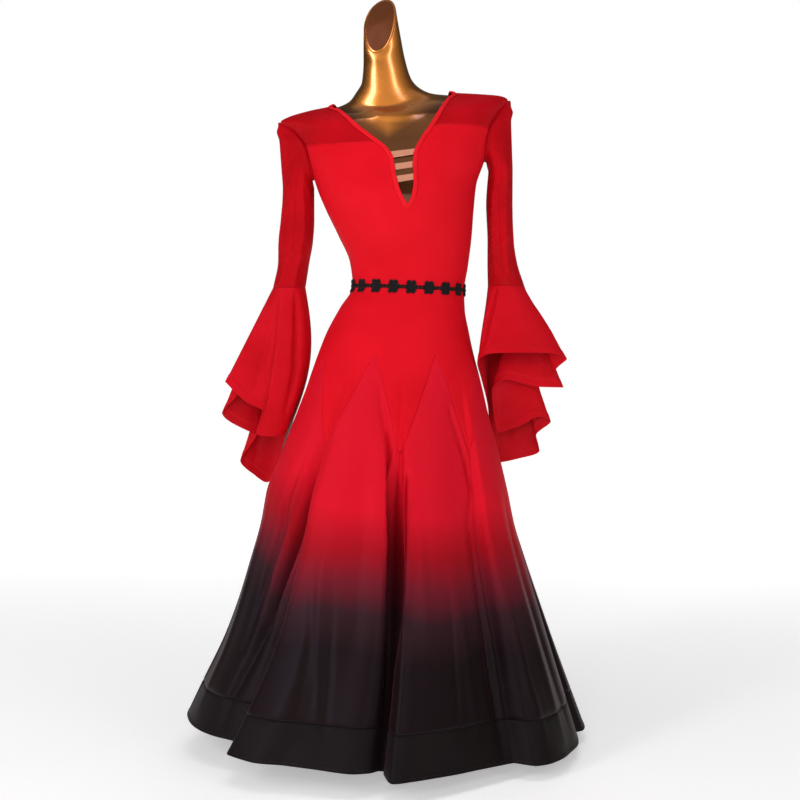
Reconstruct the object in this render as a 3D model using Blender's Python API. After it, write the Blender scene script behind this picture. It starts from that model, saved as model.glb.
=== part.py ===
"""Ballroom dance dress on a limbless display form.

Metres, +Z up, and the dress faces -Y. Left is -X and right is +X, as seen from the front. The origin is the middle
of the underside of the base. Tables are in millimetres and degrees. Angles run round the body from the centre
front (0) towards +X.
"""

import math

import bmesh
import bpy
import numpy as np

MM = 0.001

# ---- cloth and seams
CREPE = 1.5 * MM            # stretch crepe of the bodice
GEORGETTE = 1.3 * MM        # skirt gores, hem band and flounces
MESH = 1.2 * MM             # yokes and sleeves
SEAM = 0.3 * MM             # gap between sewn pieces
EASE = 1.4 * MM             # gap between the form and the cloth on the torso
SHOULDER_EASE = 4.3 * MM    # the same where the dress hangs from the shoulders

# ---- levels: heights of the rings at the centre front
HEM = 40
BAND_TOP = 110
V_POINT = 575               # lowest point of the bodice between two gores
APEX = 758                  # top of each gore
WAIST = 884
PLUNGE = 1033               # bottom of the V neck
UNDERARM = 1108
CHEST_SEAM = 1170           # crepe bodice below, mesh yoke above
CHEST_AT_NECK = (1161, 1183)   # the same seam where it meets the neckline, left and right
SHOULDER_TIP = 1204
NECK_POINT = 1224
BACK_SCOOP = 9              # how far the back neckline drops below the neck points

# ---- angles round the body
CENTRE = 5.6                # the hips are turned a little towards the right
GORES = 8
ARMHOLE_FRONT = 20          # half angles of the armhole
ARMHOLE_BACK = 20

# Rings of the cloth's inner face, each by its side, front and back points. level is its height at the front,
# and square makes it fuller between the four points.
RING_COLUMNS = ("level", "left", "left_z", "right", "right_z", "front", "back", "back_z", "square")
RINGS = (
    (40, -402, 59, 366, 23, -395, 388, 41, 0.0),         # hem
    (110, -371, 125, 341, 97, -362, 356, 110, 0.0),      # top of the hem band
    (200, -331, 210, 309, 192, -322, 317, 200, 0.0),
    (280, -304, 286, 282, 275, -291, 287, 280, 0.0),
    (350, -284, 354, 259, 347, -265, 262, 350, 0.0),
    (430, -262, 432, 235, 429, -236, 235, 430, 0.0),
    (490, -250, 490, 222, 490, -214, 214, 490, 0.0),
    (575, -217, 575, 201, 575, -181, 186, 575, 0.0),     # points of the V's
    (640, -191, 640, 183, 640, -157, 163, 640, 0.0),
    (705, -165, 705, 167, 705, -128, 138, 705, 0.01),    # fullest hip
    (758, -146, 758, 153, 758, -112, 123, 758, 0.02),    # tops of the gores
    (800, -129, 800, 144, 800, -103, 111, 800, 0.03),
    (845, -104, 846, 136, 845, -93, 93, 845, 0.03),
    (884, -79, 889, 135, 880, -85, 77, 884, 0.03),       # waist
    (930, -84, 934, 142, 927, -87, 80, 932, 0.03),
    (985, -107, 988, 149, 983, -97, 91, 988, 0.035),
    (1033, -128, 1031, 153, 1037, -109, 98, 1036, 0.04),
    (1075, -144, 1068, 158, 1085, -115, 100, 1078, 0.04),
    (1108, -153, 1094, 173, 1129, -112, 100, 1114, 0.04),   # underarm
    (1142, -168, 1131, 181, 1161, -105, 100, 1149, 0.04),
    (1170, -177, 1158, 190, 1194, -96, 98, 1179, 0.03),     # chest seam
    (1193, -196, 1188, 206, 1227, -87, 92, 1206, 0.02),
    (1204, -218, 1206, 219, 1248, -81, 87, 1219, 0.01),     # shoulder tips
    (1210, -203, 1215, 206, 1255, -77, 83, 1226, 0.0),
    (1217, -163, 1227, 163, 1259, -71, 76, 1236, 0.0),
    (1224, -117, 1237, 109, 1262, -64, 67, 1248, 0.0),      # neck points
    (1231, -89, 1249, 76, 1265, -57, 60, 1257, 0.0),
)
# The form's own rings, below the hips and up the neck to its slanting cut.
FORM_HIPS = (
    (600, -128, 600, 130, 600, -92, 100, 600, 0.02),
    (612, -139, 612, 141, 612, -101, 110, 612, 0.02),
    (655, -150, 655, 153, 655, -107, 118, 655, 0.02),
    (705, -154, 705, 157, 705, -110, 122, 705, 0.02),
)
FORM_NECK = (
    (1239, -74, 1262, 52, 1270, -51, 55, 1266, 0.0),
    (1262, -62, 1284, 34, 1288, -44, 48, 1294, 0.0),
    (1300, -59, 1322, 21, 1328, -39, 45, 1334, 0.0),
    (1322, -59, 1352, 13, 1368, -38, 43, 1388, 0.0),
    (1337, -60, 1387, 3, 1417, -37, 41, 1452, 0.0),
)

# The gores: the angle of the seam that each one starts at, at the V's points and at the hem, the angle of its top,
# and how far its hem stands out from the ring at each of FOLD_PLACES across it. The skirt folds in at the seams.
FOLD_PLACES = (-1, -0.87, -0.64, -0.34, 0, 0.34, 0.66, 0.86)
GORE_COLUMNS = ("name", "start", "hem_start", "top", "folds")
GORE_TABLE = (
    ("front_right", 5.6, -0.5, 30.0, (-41, 34, 19, -1, -18, -32, -38, -39)),
    ("right", 48.5, 42, 72.0, (-38, 2, 10, 8, 2, 0, -6, -10)),
    ("right_back", 95.6, 84, 118.1, (-13, 2, 9, 11, 6, -4, -14, -24)),
    ("back_right", 140.6, 128, 163.1, (-36, 18, 15, 4, -8, -18, -27, -33)),
    ("back_left", 185.6, 180, 208.1, (-40, 20, 16, 4, -8, -16, -25, -31)),
    ("left_back", 230.6, 230, 253.1, (-34, 12, 14, 5, -2, -8, -15, -21)),
    ("left", 275.6, 265, 297.0, (-26, -7, 0, -2, -5, -12, -24, -35)),
    ("front_left", 321.5, 308, 345.7, (-40, -28, 16, 17, -4, -10, -7, -20)),
)
FOLD_START = 715            # level at which the folds begin

# The neckline seen from the front: x and z of the bodice's edge on each side, from the plunge up.
NECKLINE_COLUMNS = ("x", "z")
NECKLINE_LEFT = ((25, 1033), (9, 1064), (1, 1094), (-3, 1121), (-13, 1140), (-36, 1160), (-63, 1182), (-88, 1205),
                 (-104, 1220))
NECKLINE_RIGHT = ((25, 1033), (35, 1052), (39, 1081), (38, 1112), (40, 1133), (45, 1147), (71, 1190), (90, 1221),
                  (104, 1243))

# Sleeves below the underarm: level rings, centre and half sizes.
SLEEVE_COLUMNS = ("x", "y", "z", "half_width", "half_depth")
SLEEVE_LEFT = (
    (-186, 10, 1080, 30, 41),
    (-188, 12, 1020, 32, 40),
    (-192, 14, 976, 33, 39),
    (-196, 16, 937, 30, 38),
    (-205, 18, 887, 31, 37),
)
SLEEVE_RIGHT = (
    (207, 8, 1112, 23, 45),
    (205, 10, 1050, 25, 44),
    (208, 12, 976, 25, 43),
    (211, 14, 937, 28, 40),
    (219, 16, 890, 35, 36),
)

# Hem of each flounce: angle on the sleeve's seam (0 outward, -90 front), then the hem's place there:
# out from the seam's centre, y, and drop below the seam. A row for each fold of the cascade.
FLOUNCE_COLUMNS = ("name", "seam_angle", "out", "y", "drop")
FLOUNCE_LEFT = (
    ("inner_front", -140, 5, -28, 282),
    ("front", -105, 29, -50, 288),
    ("front_edge", -78, 58, -56, 282),
    ("tuck_1", -58, 46, -37, 243),
    ("lip_1", -38, 81, -31, 222),
    ("tip_1", -14, 121, -18, 184),
    ("notch_1", -2, 100, -5, 208),
    ("tip_2", 12, 131, 12, 247),
    ("lip_2", 28, 84, 27, 281),
    ("tuck_2", 42, 66, 38, 290),
    ("drop_2", 54, 86, 49, 320),
    ("tip_3", 70, 101, 62, 345),
    ("lip_3", 86, 76, 74, 372),
    ("back", 104, 52, 80, 388),
    ("inner_back", 130, 28, 68, 362),
    ("inner", 158, 20, 36, 323),
    ("inner_mid", 190, 10, 2, 294),
)
FLOUNCE_RIGHT = (
    ("inner_front", -140, -58, -46, 148),
    ("front_1", -118, -34, -62, 132),
    ("front_2", -92, 24, -66, 130),
    ("front_3", -52, 76, -56, 131),
    ("tip_1", -28, 112, -40, 143),
    ("notch_1", -12, 91, -25, 168),
    ("tip_2", 0, 109, -10, 198),
    ("lip_1", 9, 64, 0, 197),
    ("lip_2", 17, 2, 3, 183),
    ("tuck_1", 28, -28, 14, 205),
    ("drop_1", 42, -14, 26, 288),
    ("front_4", 52, 30, 27, 274),
    ("front_5", 60, 66, 31, 257),
    ("tip_3", 68, 90, 42, 268),
    ("notch_2", 77, 62, 52, 296),
    ("tip_4", 87, 70, 64, 327),
    ("back_1", 104, 32, 72, 342),
    ("back", 124, -7, 74, 350),
    ("inner_back", 146, -26, 56, 299),
    ("inner", 166, -33, 26, 237),
    ("inner_mid", 192, -48, -14, 182),
)
FLOUNCE_BOW = (30, 5)       # how far the inner side swings in towards the hip on its way down, left and right

# ---- trims
BINDING = ((-3.0, -1.2), (-0.5, -1.2), (-0.5, 0.4), (7.0, 0.4), (6.6, 1.7), (0.6, 3.0), (-2.4, 2.4))
STRAP_WIDTH = 12
STRAP_WALL = 1.4 * MM
# Each strap by its middle height at its left and right ends, and how far both stop short of the neckline.
STRAP_COLUMNS = ("z_left", "z_right", "inset")
STRAPS = ((1129, 1135, 5.0), (1106, 1111, 4.8), (1083, 1088, 3.8))
FLOWER = 13.5               # half width of a lace flower
FLOWER_RISE = 1.12          # how much taller it is than wide
FLOWER_PITCH = 33
LINK = 3.0                  # half height of the link between flowers
BELT_WALL = 1.6 * MM

# ---- stand
BASE_RADIUS = 175 * MM
BASE_HEIGHT = 8 * MM
COLLAR_RADIUS = 27 * MM
COLLAR_HEIGHT = 34 * MM
POLE_RADIUS = 12.5 * MM


# ---- interpolation ----------------------------------------------------------------------------------------------
def slopes(xs, ys):
    """Slopes at the rows of a table for a curve that never overshoots them."""
    step = np.diff(xs)
    rise = np.diff(ys, axis=0) / step[:, None]
    same = rise[:-1] * rise[1:] > 0
    blend = 2 * rise[:-1] * rise[1:] / np.where(same, rise[:-1] + rise[1:], 1)
    middle = np.where(same, blend, 0)
    return np.concatenate([rise[:1], middle, rise[-1:]])


def curve(xs, ys, x):
    """Columns ys of a table, read between its rows xs at x with smooth cubic pieces."""
    slope = slopes(xs, ys)
    row = np.clip(np.searchsorted(xs, x, side="right") - 1, 0, len(xs) - 2)
    width = (xs[row + 1] - xs[row])[..., None]
    t = (x[..., None] - xs[row][..., None]) / width
    start, end = ys[row], ys[row + 1]
    rise = (3 - 2 * t) * t * t
    leave = t * (1 - t) ** 2 * slope[row]
    arrive = -t * t * (1 - t) * slope[row + 1]
    return start + (end - start) * rise + (leave + arrive) * width


def closed_curve(keys, values, x, period):
    """The same round a closed table, whose keys rise through one period."""
    rows = np.concatenate([keys[-2:] - period, keys, keys[:2] + period])
    columns = np.concatenate([values[-2:], values, values[:2]])
    return curve(rows, columns, (x - keys[0]) % period + keys[0])


# ---- the body's surface -----------------------------------------------------------------------------------------
def ring_point(rings, angle, level):
    """Points of a table of rings, in millimetres, for arrays of angles and levels."""
    table = np.array(rings, float)
    left, left_z, right, right_z, front, back, back_z, square = np.moveaxis(
        curve(table[:, 0], table[:, 1:], level), -1, 0
    )
    turn = np.radians(angle)
    sine, cosine = np.sin(turn), np.cos(turn)
    fuller = 1 + square * np.sin(2 * turn) ** 2
    depth = np.where(cosine > 0, -front, back)
    x = (left + right) / 2 + (right - left) / 2 * sine * fuller
    y = -depth * cosine * fuller
    ends = (level + back_z) / 2
    sides = (left_z + right_z) / 2
    z = ends * cosine**2 + sides * sine**2 + (right_z - left_z) / 2 * sine + (level - back_z) / 2 * cosine
    return np.stack([x, y, z], -1)


def gore_angle(index, place, level):
    """Angle across one gore at a place from -1 to 1, from its two seams and, between them, its top."""
    _, start, hem_start, top, _ = GORE_TABLE[index]
    _, end, hem_end, _, _ = GORE_TABLE[(index + 1) % GORES]
    turn = 360 if index + 1 == GORES else 0
    drop = np.clip((V_POINT - level) / (V_POINT - HEM), 0, 1)
    left = start + (hem_start - start) * drop
    right = end + turn + (hem_end - end) * drop
    middle = top + ((left + right) / 2 - top) * drop
    return middle + np.where(place < 0, middle - left, right - middle) * place


def fold_push(angle, level):
    """How far the skirt's folds move each point out, in millimetres."""
    push = np.zeros(np.shape(angle))
    heights = np.array([row[-1] for row in GORE_TABLE], float).reshape(-1, 1)
    places = np.array(FOLD_PLACES)
    for here in np.unique(level[level < FOLD_START]):
        keys = np.concatenate([gore_angle(index, places, here) for index in range(GORES)])
        found = level == here
        push[found] = closed_curve(keys, heights, angle[found], 360)[:, 0]
    share = np.clip((FOLD_START - level) / (FOLD_START - HEM), 0, 1)
    return push * np.where(push < 0, share**0.9, share**1.6)


def cloth_face(angle, level):
    """The cloth's inner face, in millimetres."""
    point = ring_point(RINGS, angle, level)
    turn = np.radians(angle)
    outward = np.stack([np.sin(turn), -np.cos(turn), np.zeros(np.shape(turn))], -1)
    return point + outward * fold_push(angle, level)[..., None]


def normals_of(surface, angle, level):
    """Outward unit normals of a surface of angle and level."""
    across = surface(angle + 0.05, level) - surface(angle - 0.05, level)
    upward = surface(angle, level + 0.1) - surface(angle, level - 0.1)
    normal = np.cross(across, upward)
    return normal / np.linalg.norm(normal, axis=-1, keepdims=True)


def on_front(places):
    """Angle and level of places given by x and z as seen from the front."""
    x, z = np.array(places, float).T
    level = z.copy()
    for _ in range(40):
        left_x = ring_point(RINGS, np.full(len(x), -90.0), level)[:, 0]
        right_x = ring_point(RINGS, np.full(len(x), 90.0), level)[:, 0]
        sine = np.clip((x - (left_x + right_x) / 2) / ((right_x - left_x) / 2), -0.999, 0.999)
        angle = np.degrees(np.arcsin(sine))
        level = np.clip(level + 0.6 * (z - ring_point(RINGS, angle, level)[:, 2]), HEM, RINGS[-1][0])
    return angle, level


# ---- meshes -----------------------------------------------------------------------------------------------------
def grid_faces(rows, columns, first=0, around=False):
    """Quads of a grid of points in rows, wound so that they face out when rows go up and columns go round."""
    faces = []
    for i in range(rows - 1):
        for j in range(columns if around else columns - 1):
            k = (j + 1) % columns
            faces.append((first + i * columns + j, first + i * columns + k,
                          first + (i + 1) * columns + k, first + (i + 1) * columns + j))
    return faces


def welded(points, faces, others):
    """Joins points that coincide, and drops the faces that this closes up. others are carried along."""
    _, first, index = np.unique(np.round(points, 3), axis=0, return_index=True, return_inverse=True)
    index = index.reshape(-1)
    kept = []
    for face in faces:
        ring = []
        for corner in (int(index[i]) for i in face):
            if corner not in ring:
                ring.append(corner)
        if len(ring) > 2:
            kept.append(tuple(ring))
    return points[first], kept, [other[first] for other in others]


def border(faces):
    """Directed edges that belong to one face only."""
    edges = {(face[i], face[(i + 1) % len(face)]) for face in faces for i in range(len(face))}
    return [edge for edge in edges if (edge[1], edge[0]) not in edges]


def drawn_in(points, faces, normals, gap):
    """Points with the border moved into the surface by half the seam's gap."""
    inward = {}
    for a, b in border(faces):
        along = (points[b] - points[a]) / np.linalg.norm(points[b] - points[a])
        for i in (a, b):
            inward.setdefault(i, []).append(np.cross(normals[i], along))
    moved = points.copy()
    for i, sides in inward.items():
        mean = sum(sides)
        mean = mean / np.linalg.norm(mean)
        reach = max(0.35, float(np.dot(mean, sides[0])))
        moved[i] = points[i] + mean * gap / 2 / reach
    return moved


def wall(points, faces, normals, inner, outer):
    """Closed wall between two offsets of a surface."""
    count = len(points)
    both = np.concatenate([points + normals * inner, points + normals * outer])
    closed = [tuple(reversed(face)) for face in faces]
    closed += [tuple(i + count for i in face) for face in faces]
    closed += [(a, b, b + count, a + count) for a, b in border(faces)]
    return both, closed


def add_object(name, points, faces, material):
    """One object from points in metres."""
    mesh = bpy.data.meshes.new(name)
    mesh.from_pydata(points.tolist(), [], faces)
    shape = bmesh.new()
    shape.from_mesh(mesh)
    bmesh.ops.triangulate(shape, faces=shape.faces[:], quad_method="BEAUTY")
    shape.to_mesh(mesh)
    shape.free()
    mesh.shade_smooth()
    mesh.set_sharp_from_angle(angle=math.radians(40))
    mesh.materials.append(material)
    thing = bpy.data.objects.new(name, mesh)
    bpy.context.collection.objects.link(thing)
    return thing


def add_panel(name, blocks, thickness, material):
    """A cut piece of the body as a wall, from blocks of angle and level in rows that join along their edges."""
    points, normals, faces = [], [], []
    for angle, level in blocks:
        faces += grid_faces(*angle.shape, sum(len(part) for part in points))
        points.append(cloth_face(angle, level).reshape(-1, 3))
        normals.append(normals_of(cloth_face, angle, level).reshape(-1, 3))
    points, faces, (normals,) = welded(np.concatenate(points), faces, [np.concatenate(normals)])
    points = drawn_in(points, faces, normals, SEAM / MM)
    points, faces = wall(points, faces, normals, 0, thickness / MM)
    return add_object(name, points * MM, faces, material)


def mesh_normals(points, faces):
    """Unit normals at the points of a mesh."""
    total = np.zeros(points.shape)
    for face in faces:
        corners = points[list(face)]
        normal = np.cross(corners[2] - corners[0], corners[-1] - corners[1])
        for i in face:
            total[i] += normal
    return total / np.linalg.norm(total, axis=1, keepdims=True)


def add_tube(name, rings, thickness, material, level_rows=()):
    """A wall on rings of points that go round. level_rows are rings whose cut edge stays level."""
    rows, columns, _ = rings.shape
    faces = grid_faces(rows, columns, around=True)
    points = rings.reshape(-1, 3)
    normals = mesh_normals(points, faces)
    for row in level_rows:
        part = slice(row * columns, (row + 1) * columns)
        normals[part, 2] = 0
        normals[part] /= np.linalg.norm(normals[part], axis=1, keepdims=True)
    points, faces = wall(points, faces, normals, -thickness / 2 / MM, thickness / 2 / MM)
    return add_object(name, points * MM, faces, material)


def add_material(name, colour, roughness, metallic=0.0):
    material = bpy.data.materials.new(name)
    material.use_nodes = True
    shader = material.node_tree.nodes["Principled BSDF"]
    shader.inputs["Base Color"].default_value = (*colour, 1)
    shader.inputs["Roughness"].default_value = roughness
    shader.inputs["Metallic"].default_value = metallic
    return material


# ---- edges of the cut pieces ------------------------------------------------------------------------------------
def armhole_angle(level, side, half):
    """Angle of the armhole's edge. side is -1 for the left and 1 for the right; half is above 0 on the front."""
    middle = (UNDERARM + SHOULDER_TIP) / 2
    reach = (SHOULDER_TIP - UNDERARM) / 2
    opening = np.sqrt(np.clip(1 - ((np.asarray(level, float) - middle) / reach) ** 2, 0, 1))
    return side * (90 - half * opening)


def side_seam(level, side):
    """Angle of the side seam, from the underarm down to the V between two gores."""
    share = np.clip((UNDERARM - np.asarray(level, float)) / (UNDERARM - LEVELS[0]), 0, 1)
    return side * 90 + CENTRE * share


def neckline(places):
    """Angle against level along one side of the neckline."""
    angle, level = on_front(places)
    return lambda wanted: curve(level, angle[:, None], np.asarray(wanted, float))[..., 0]


LEFT_EDGE, RIGHT_EDGE = neckline(NECKLINE_LEFT), neckline(NECKLINE_RIGHT)
PLUNGE_ANGLE = float(LEFT_EDGE(PLUNGE))
LEVELS = (790, 822, 850, 870, 884, 898, 922, 955, 992, PLUNGE, 1058, 1083)
ARMHOLE_LEVELS = (UNDERARM, 1118, 1134, 1152, CHEST_SEAM)
FOOT_SHARES = (0, 0.34, 0.67)
HALF_COLUMNS = 12


def front_edge(level, edge):
    """The centre front below the plunge, and one side of the neckline above it."""
    share = np.clip((level - LEVELS[0]) / (PLUNGE - LEVELS[0]), 0, 1)
    below = CENTRE + (PLUNGE_ANGLE - CENTRE) * share
    return np.where(level <= PLUNGE, below, edge(np.maximum(level, PLUNGE)))


def outer_edge(level, side, half, turn=0):
    """The side seam below the underarm and the armhole above it."""
    return np.where(level <= UNDERARM, side_seam(level, side), armhole_angle(level, side, half)) + turn


def neck_level(side):
    """Levels of the bodice's rows at the neckline, above the plunge."""
    stretch = (CHEST_AT_NECK[side > 0] - UNDERARM) / (CHEST_SEAM - UNDERARM)
    return UNDERARM + (np.array(ARMHOLE_LEVELS) - UNDERARM) * stretch


def bodice_block(gores, edge_a, edge_b, top_a=None, top_b=None):
    """Rows of the bodice between two edges, over half of each gore at its ends and the V between them."""
    share = np.linspace(0, 1, HALF_COLUMNS + 1)
    third = np.array((0, 1, 2, 3)) / 3
    foot_angle, foot = [], []
    for index in gores:
        for places in (third - 1, third[1:]):
            wide = np.abs(places)
            level = APEX - (APEX - V_POINT) * wide**1.25
            foot_angle.append(gore_angle(index, places, level))
            foot.append(level)
    foot_angle, foot = np.concatenate(foot_angle[:1] + foot_angle[1:]), np.concatenate(foot)
    foot_angle, foot = np.delete(foot_angle, 7), np.delete(foot, 7)
    if gores[1] < gores[0]:
        foot_angle[7:] += 360
    first = np.full(share.shape, float(LEVELS[0]))
    above = edge_a(first) * (1 - share) + edge_b(first) * share
    foot_angle += round((above[0] - foot_angle[0]) / 360) * 360
    angles = [foot_angle + (above - foot_angle) * part for part in FOOT_SHARES]
    levels = [foot + (first - foot) * part for part in FOOT_SHARES]
    ends = [(level, level) for level in LEVELS]
    ends += list(zip(ARMHOLE_LEVELS if top_a is None else top_a, ARMHOLE_LEVELS if top_b is None else top_b))
    for level_a, level_b in ends:
        angles.append(edge_a(np.float64(level_a)) * (1 - share) + edge_b(np.float64(level_b)) * share)
        levels.append(level_a * (1 - share) + level_b * share)
    return np.array(angles), np.array(levels)


def add_bodices(crepe):
    def left_front(level):
        return front_edge(level, LEFT_EDGE)

    def right_front(level):
        return front_edge(level, RIGHT_EDGE)

    def centre_back(level):
        return np.full(np.shape(level), 180 + CENTRE)

    def side(sign, half, turn=0):
        return lambda level: outer_edge(level, sign, half, turn)

    front = [
        bodice_block((6, 7), side(-1, ARMHOLE_FRONT), left_front, top_b=neck_level(-1)),
        bodice_block((0, 1), right_front, side(1, ARMHOLE_FRONT), top_a=neck_level(1)),
    ]
    add_panel("bodice_front", front, CREPE, crepe)
    back = [
        bodice_block((2, 3), side(1, -ARMHOLE_BACK), centre_back),
        bodice_block((4, 5), centre_back, side(-1, -ARMHOLE_BACK, 360)),
    ]
    add_panel("bodice_back", back, CREPE, crepe)


def patch(bottom, top, left, right):
    """Angle and level over a four-sided piece, from its four edges, each an array of (angle, level)."""
    across = np.linspace(0, 1, len(bottom))[None, :, None]
    upward = np.linspace(0, 1, len(left))[:, None, None]
    ruled = bottom[None] * (1 - upward) + top[None] * upward + left[:, None] * (1 - across) + right[:, None] * across
    corners = (bottom[0] * (1 - across) + bottom[-1] * across) * (1 - upward)
    corners = corners + (top[0] * (1 - across) + top[-1] * across) * upward
    return np.moveaxis(ruled - corners, -1, 0)


YOKE_ROWS = 9


def armhole_edge(side, half):
    """The armhole from the chest seam up to the shoulder tip."""
    level = CHEST_SEAM + (SHOULDER_TIP - CHEST_SEAM) * np.sin(np.linspace(0, math.pi / 2, YOKE_ROWS))
    return np.stack([armhole_angle(level, side, half), level], -1)


def neck_edge(places, side):
    """One side of the neckline from the chest seam up to the neck point."""
    angle, level = on_front(places)
    angle, level = np.append(angle, side * 90.0), np.append(level, float(NECK_POINT))
    start = float(CHEST_AT_NECK[side > 0])
    wanted = np.concatenate([[start], level[level > start + 8][:-1], [NECK_POINT]])
    fine = np.interp(np.linspace(0, 1, YOKE_ROWS), np.linspace(0, 1, len(wanted)), wanted)
    return np.stack([curve(level, angle[:, None], fine)[:, 0], fine], -1)


def back_neckline(share):
    """The back neckline from the right neck point round to the left one."""
    angle = 90 + 180 * share
    return np.stack([angle, NECK_POINT - BACK_SCOOP * np.sin(math.pi * share) ** 2], -1)


def add_yokes(net):
    columns = HALF_COLUMNS + 1
    for name, side, places in (("yoke_left", -1, NECKLINE_LEFT), ("yoke_right", 1, NECKLINE_RIGHT)):
        neck, arm = neck_edge(places, side), armhole_edge(side, ARMHOLE_FRONT)
        bottom = np.linspace(neck[0], arm[0], columns)
        top = np.linspace(neck[-1], arm[-1], columns)
        if side > 0:
            block = patch(bottom, top, neck, arm)
        else:
            block = patch(bottom[::-1], top[::-1], arm, neck)
        add_panel(name, [block], MESH, net)
    right_arm = armhole_edge(1, -ARMHOLE_BACK)
    left_arm = armhole_edge(-1, -ARMHOLE_BACK) + (360, 0)
    bottom = np.concatenate([
        np.linspace(right_arm[0], (180 + CENTRE, CHEST_SEAM), columns),
        np.linspace((180 + CENTRE, CHEST_SEAM), left_arm[0], columns)[1:],
    ])
    shoulder = HALF_COLUMNS // 2
    right_seam = np.linspace(right_arm[-1], (90, NECK_POINT), shoulder + 1)
    left_seam = np.linspace((270, NECK_POINT), left_arm[-1], shoulder + 1)
    neck = back_neckline(np.linspace(0, 1, HALF_COLUMNS + 1))
    top = np.concatenate([right_seam[:-1], neck, left_seam[1:]])
    add_panel("yoke_back", [patch(bottom, top, right_arm, left_arm)], MESH, net)


# ---- skirt ------------------------------------------------------------------------------------------------------
GORE_LEVELS = (520, 455, 390, 325, 260, 190, BAND_TOP)


def add_gores(georgette):
    places = np.array(FOLD_PLACES + (1,))
    top = np.array((0, 1, 2, 3)) / 3
    levels = np.concatenate([APEX - (APEX - V_POINT) * top**1.25, GORE_LEVELS])[::-1]
    widths = np.concatenate([top, np.ones(len(GORE_LEVELS))])[::-1]
    level = np.repeat(levels[:, None], len(places), axis=1)
    for index in range(GORES):
        angle = gore_angle(index, places * widths[:, None], level)
        add_panel(f"gore_{index + 1}", [(angle, level)], GEORGETTE, georgette)


def add_hem_band(georgette):
    """The band in four lengths, each under two gores."""
    levels = np.array((HEM, (HEM + BAND_TOP) / 2, BAND_TOP))[:, None]
    places = np.array(FOLD_PLACES)
    for first in range(0, GORES, 2):
        last = gore_angle(first + 1, np.array((1.0,)), levels)
        angle = np.concatenate([gore_angle(first, places, levels), gore_angle(first + 1, places, levels), last], axis=1)
        level = np.repeat(levels, angle.shape[1], axis=1)
        add_panel(f"hem_band_{first // 2 + 1}", [(angle, level)], GEORGETTE, georgette)


# ---- sleeves and flounces ---------------------------------------------------------------------------------------
SLEEVE_POINTS = 16


def armhole_loop(side):
    """The armhole's edge from the underarm up the front to the shoulder tip and down the back: points, normals."""
    front = np.concatenate([
        np.stack([armhole_angle(ARMHOLE_LEVELS, side, ARMHOLE_FRONT), ARMHOLE_LEVELS], -1),
        armhole_edge(side, ARMHOLE_FRONT)[2::2],
    ])
    back = np.concatenate([
        np.stack([armhole_angle(ARMHOLE_LEVELS, side, -ARMHOLE_BACK), ARMHOLE_LEVELS], -1),
        armhole_edge(side, -ARMHOLE_BACK)[2::2],
    ])
    angle, level = np.concatenate([front[:-1], back[:0:-1]]).T
    return cloth_face(angle, level), normals_of(cloth_face, angle, level)


def add_sleeve(name, side, table, net):
    edge, normal = armhole_loop(side)
    into = edge.mean(axis=0) - edge
    into -= normal * np.sum(into * normal, axis=1, keepdims=True)
    into /= np.linalg.norm(into, axis=1, keepdims=True)
    start = edge + into * 1.3 + normal * (MESH / MM / 2)
    turned = edge + into * 1.3 + normal * 6
    around = math.pi + np.arange(SLEEVE_POINTS) * 2 * math.pi / SLEEVE_POINTS
    rings = []
    for x, y, z, half_width, half_depth in table:
        rings.append(np.stack([
            x + side * half_width * np.cos(around),
            y + half_depth * np.sin(around),
            np.full(SLEEVE_POINTS, float(z)),
        ], -1))
    rings[-1][:, 2] += SEAM / MM / 2
    head = [turned + (rings[0] - turned) * share for share in (0.35, 0.7)]
    stack = np.array([start, turned] + head + rings)
    if side > 0:
        stack = stack[:, ::-1]
    add_tube(name, stack[::-1], MESH, net, level_rows=(0,))


def add_flounce(name, side, table, seam, bow, georgette):
    """Straight rulings from the sleeve's seam to a cascading hem, the inner side bowed in towards the hip."""
    x, y, z, half_width, half_depth = seam
    keys = np.array([row[1] for row in table], float)
    places = np.array([row[2:] for row in table], float)
    angles = np.concatenate([
        np.linspace(key, following, 3)[:-1]
        for key, following in zip(keys, np.append(keys[1:], keys[0] + 360))
    ])
    out, hem_y, drop = closed_curve(keys, places, angles, 360).T
    turn = np.radians(angles)
    top = np.stack([x + side * half_width * np.cos(turn), y + half_depth * np.sin(turn),
                    np.full(len(turn), z - SEAM / MM / 2)], -1)
    hem = np.stack([x + side * out, hem_y, z - drop], -1)
    inner = (1 - np.cos(turn)) / 2
    rings = []
    for share in (0, 0.12, 0.3, 0.5, 0.7, 0.86, 1):
        ring = top + (hem - top) * share
        ring[:, 0] -= side * bow * inner**2 * math.sin(math.pi * share)
        rings.append(ring)
    stack = np.array(rings)
    if side < 0:
        stack = stack[:, ::-1]
    add_tube(name, stack[::-1], GEORGETTE, georgette, level_rows=(len(stack) - 1,))


# ---- trims ------------------------------------------------------------------------------------------------------
def neck_path():
    """The panels' own points round the neckline: from the plunge up the right, round the back and down the left."""
    sides = []
    for side, edge, places in ((-1, LEFT_EDGE, NECKLINE_LEFT), (1, RIGHT_EDGE, NECKLINE_RIGHT)):
        level = np.concatenate([[PLUNGE, 1058, 1083], neck_level(side)])
        below = np.stack([edge(level), level], -1)
        sides.append(np.concatenate([below, neck_edge(places, side)[1:]]))
    left, right = sides
    back = back_neckline(np.linspace(0, 1, HALF_COLUMNS + 1))
    return np.concatenate([right, back[1:-1], left[::-1] + (360, 0)])[:-1].T


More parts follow.
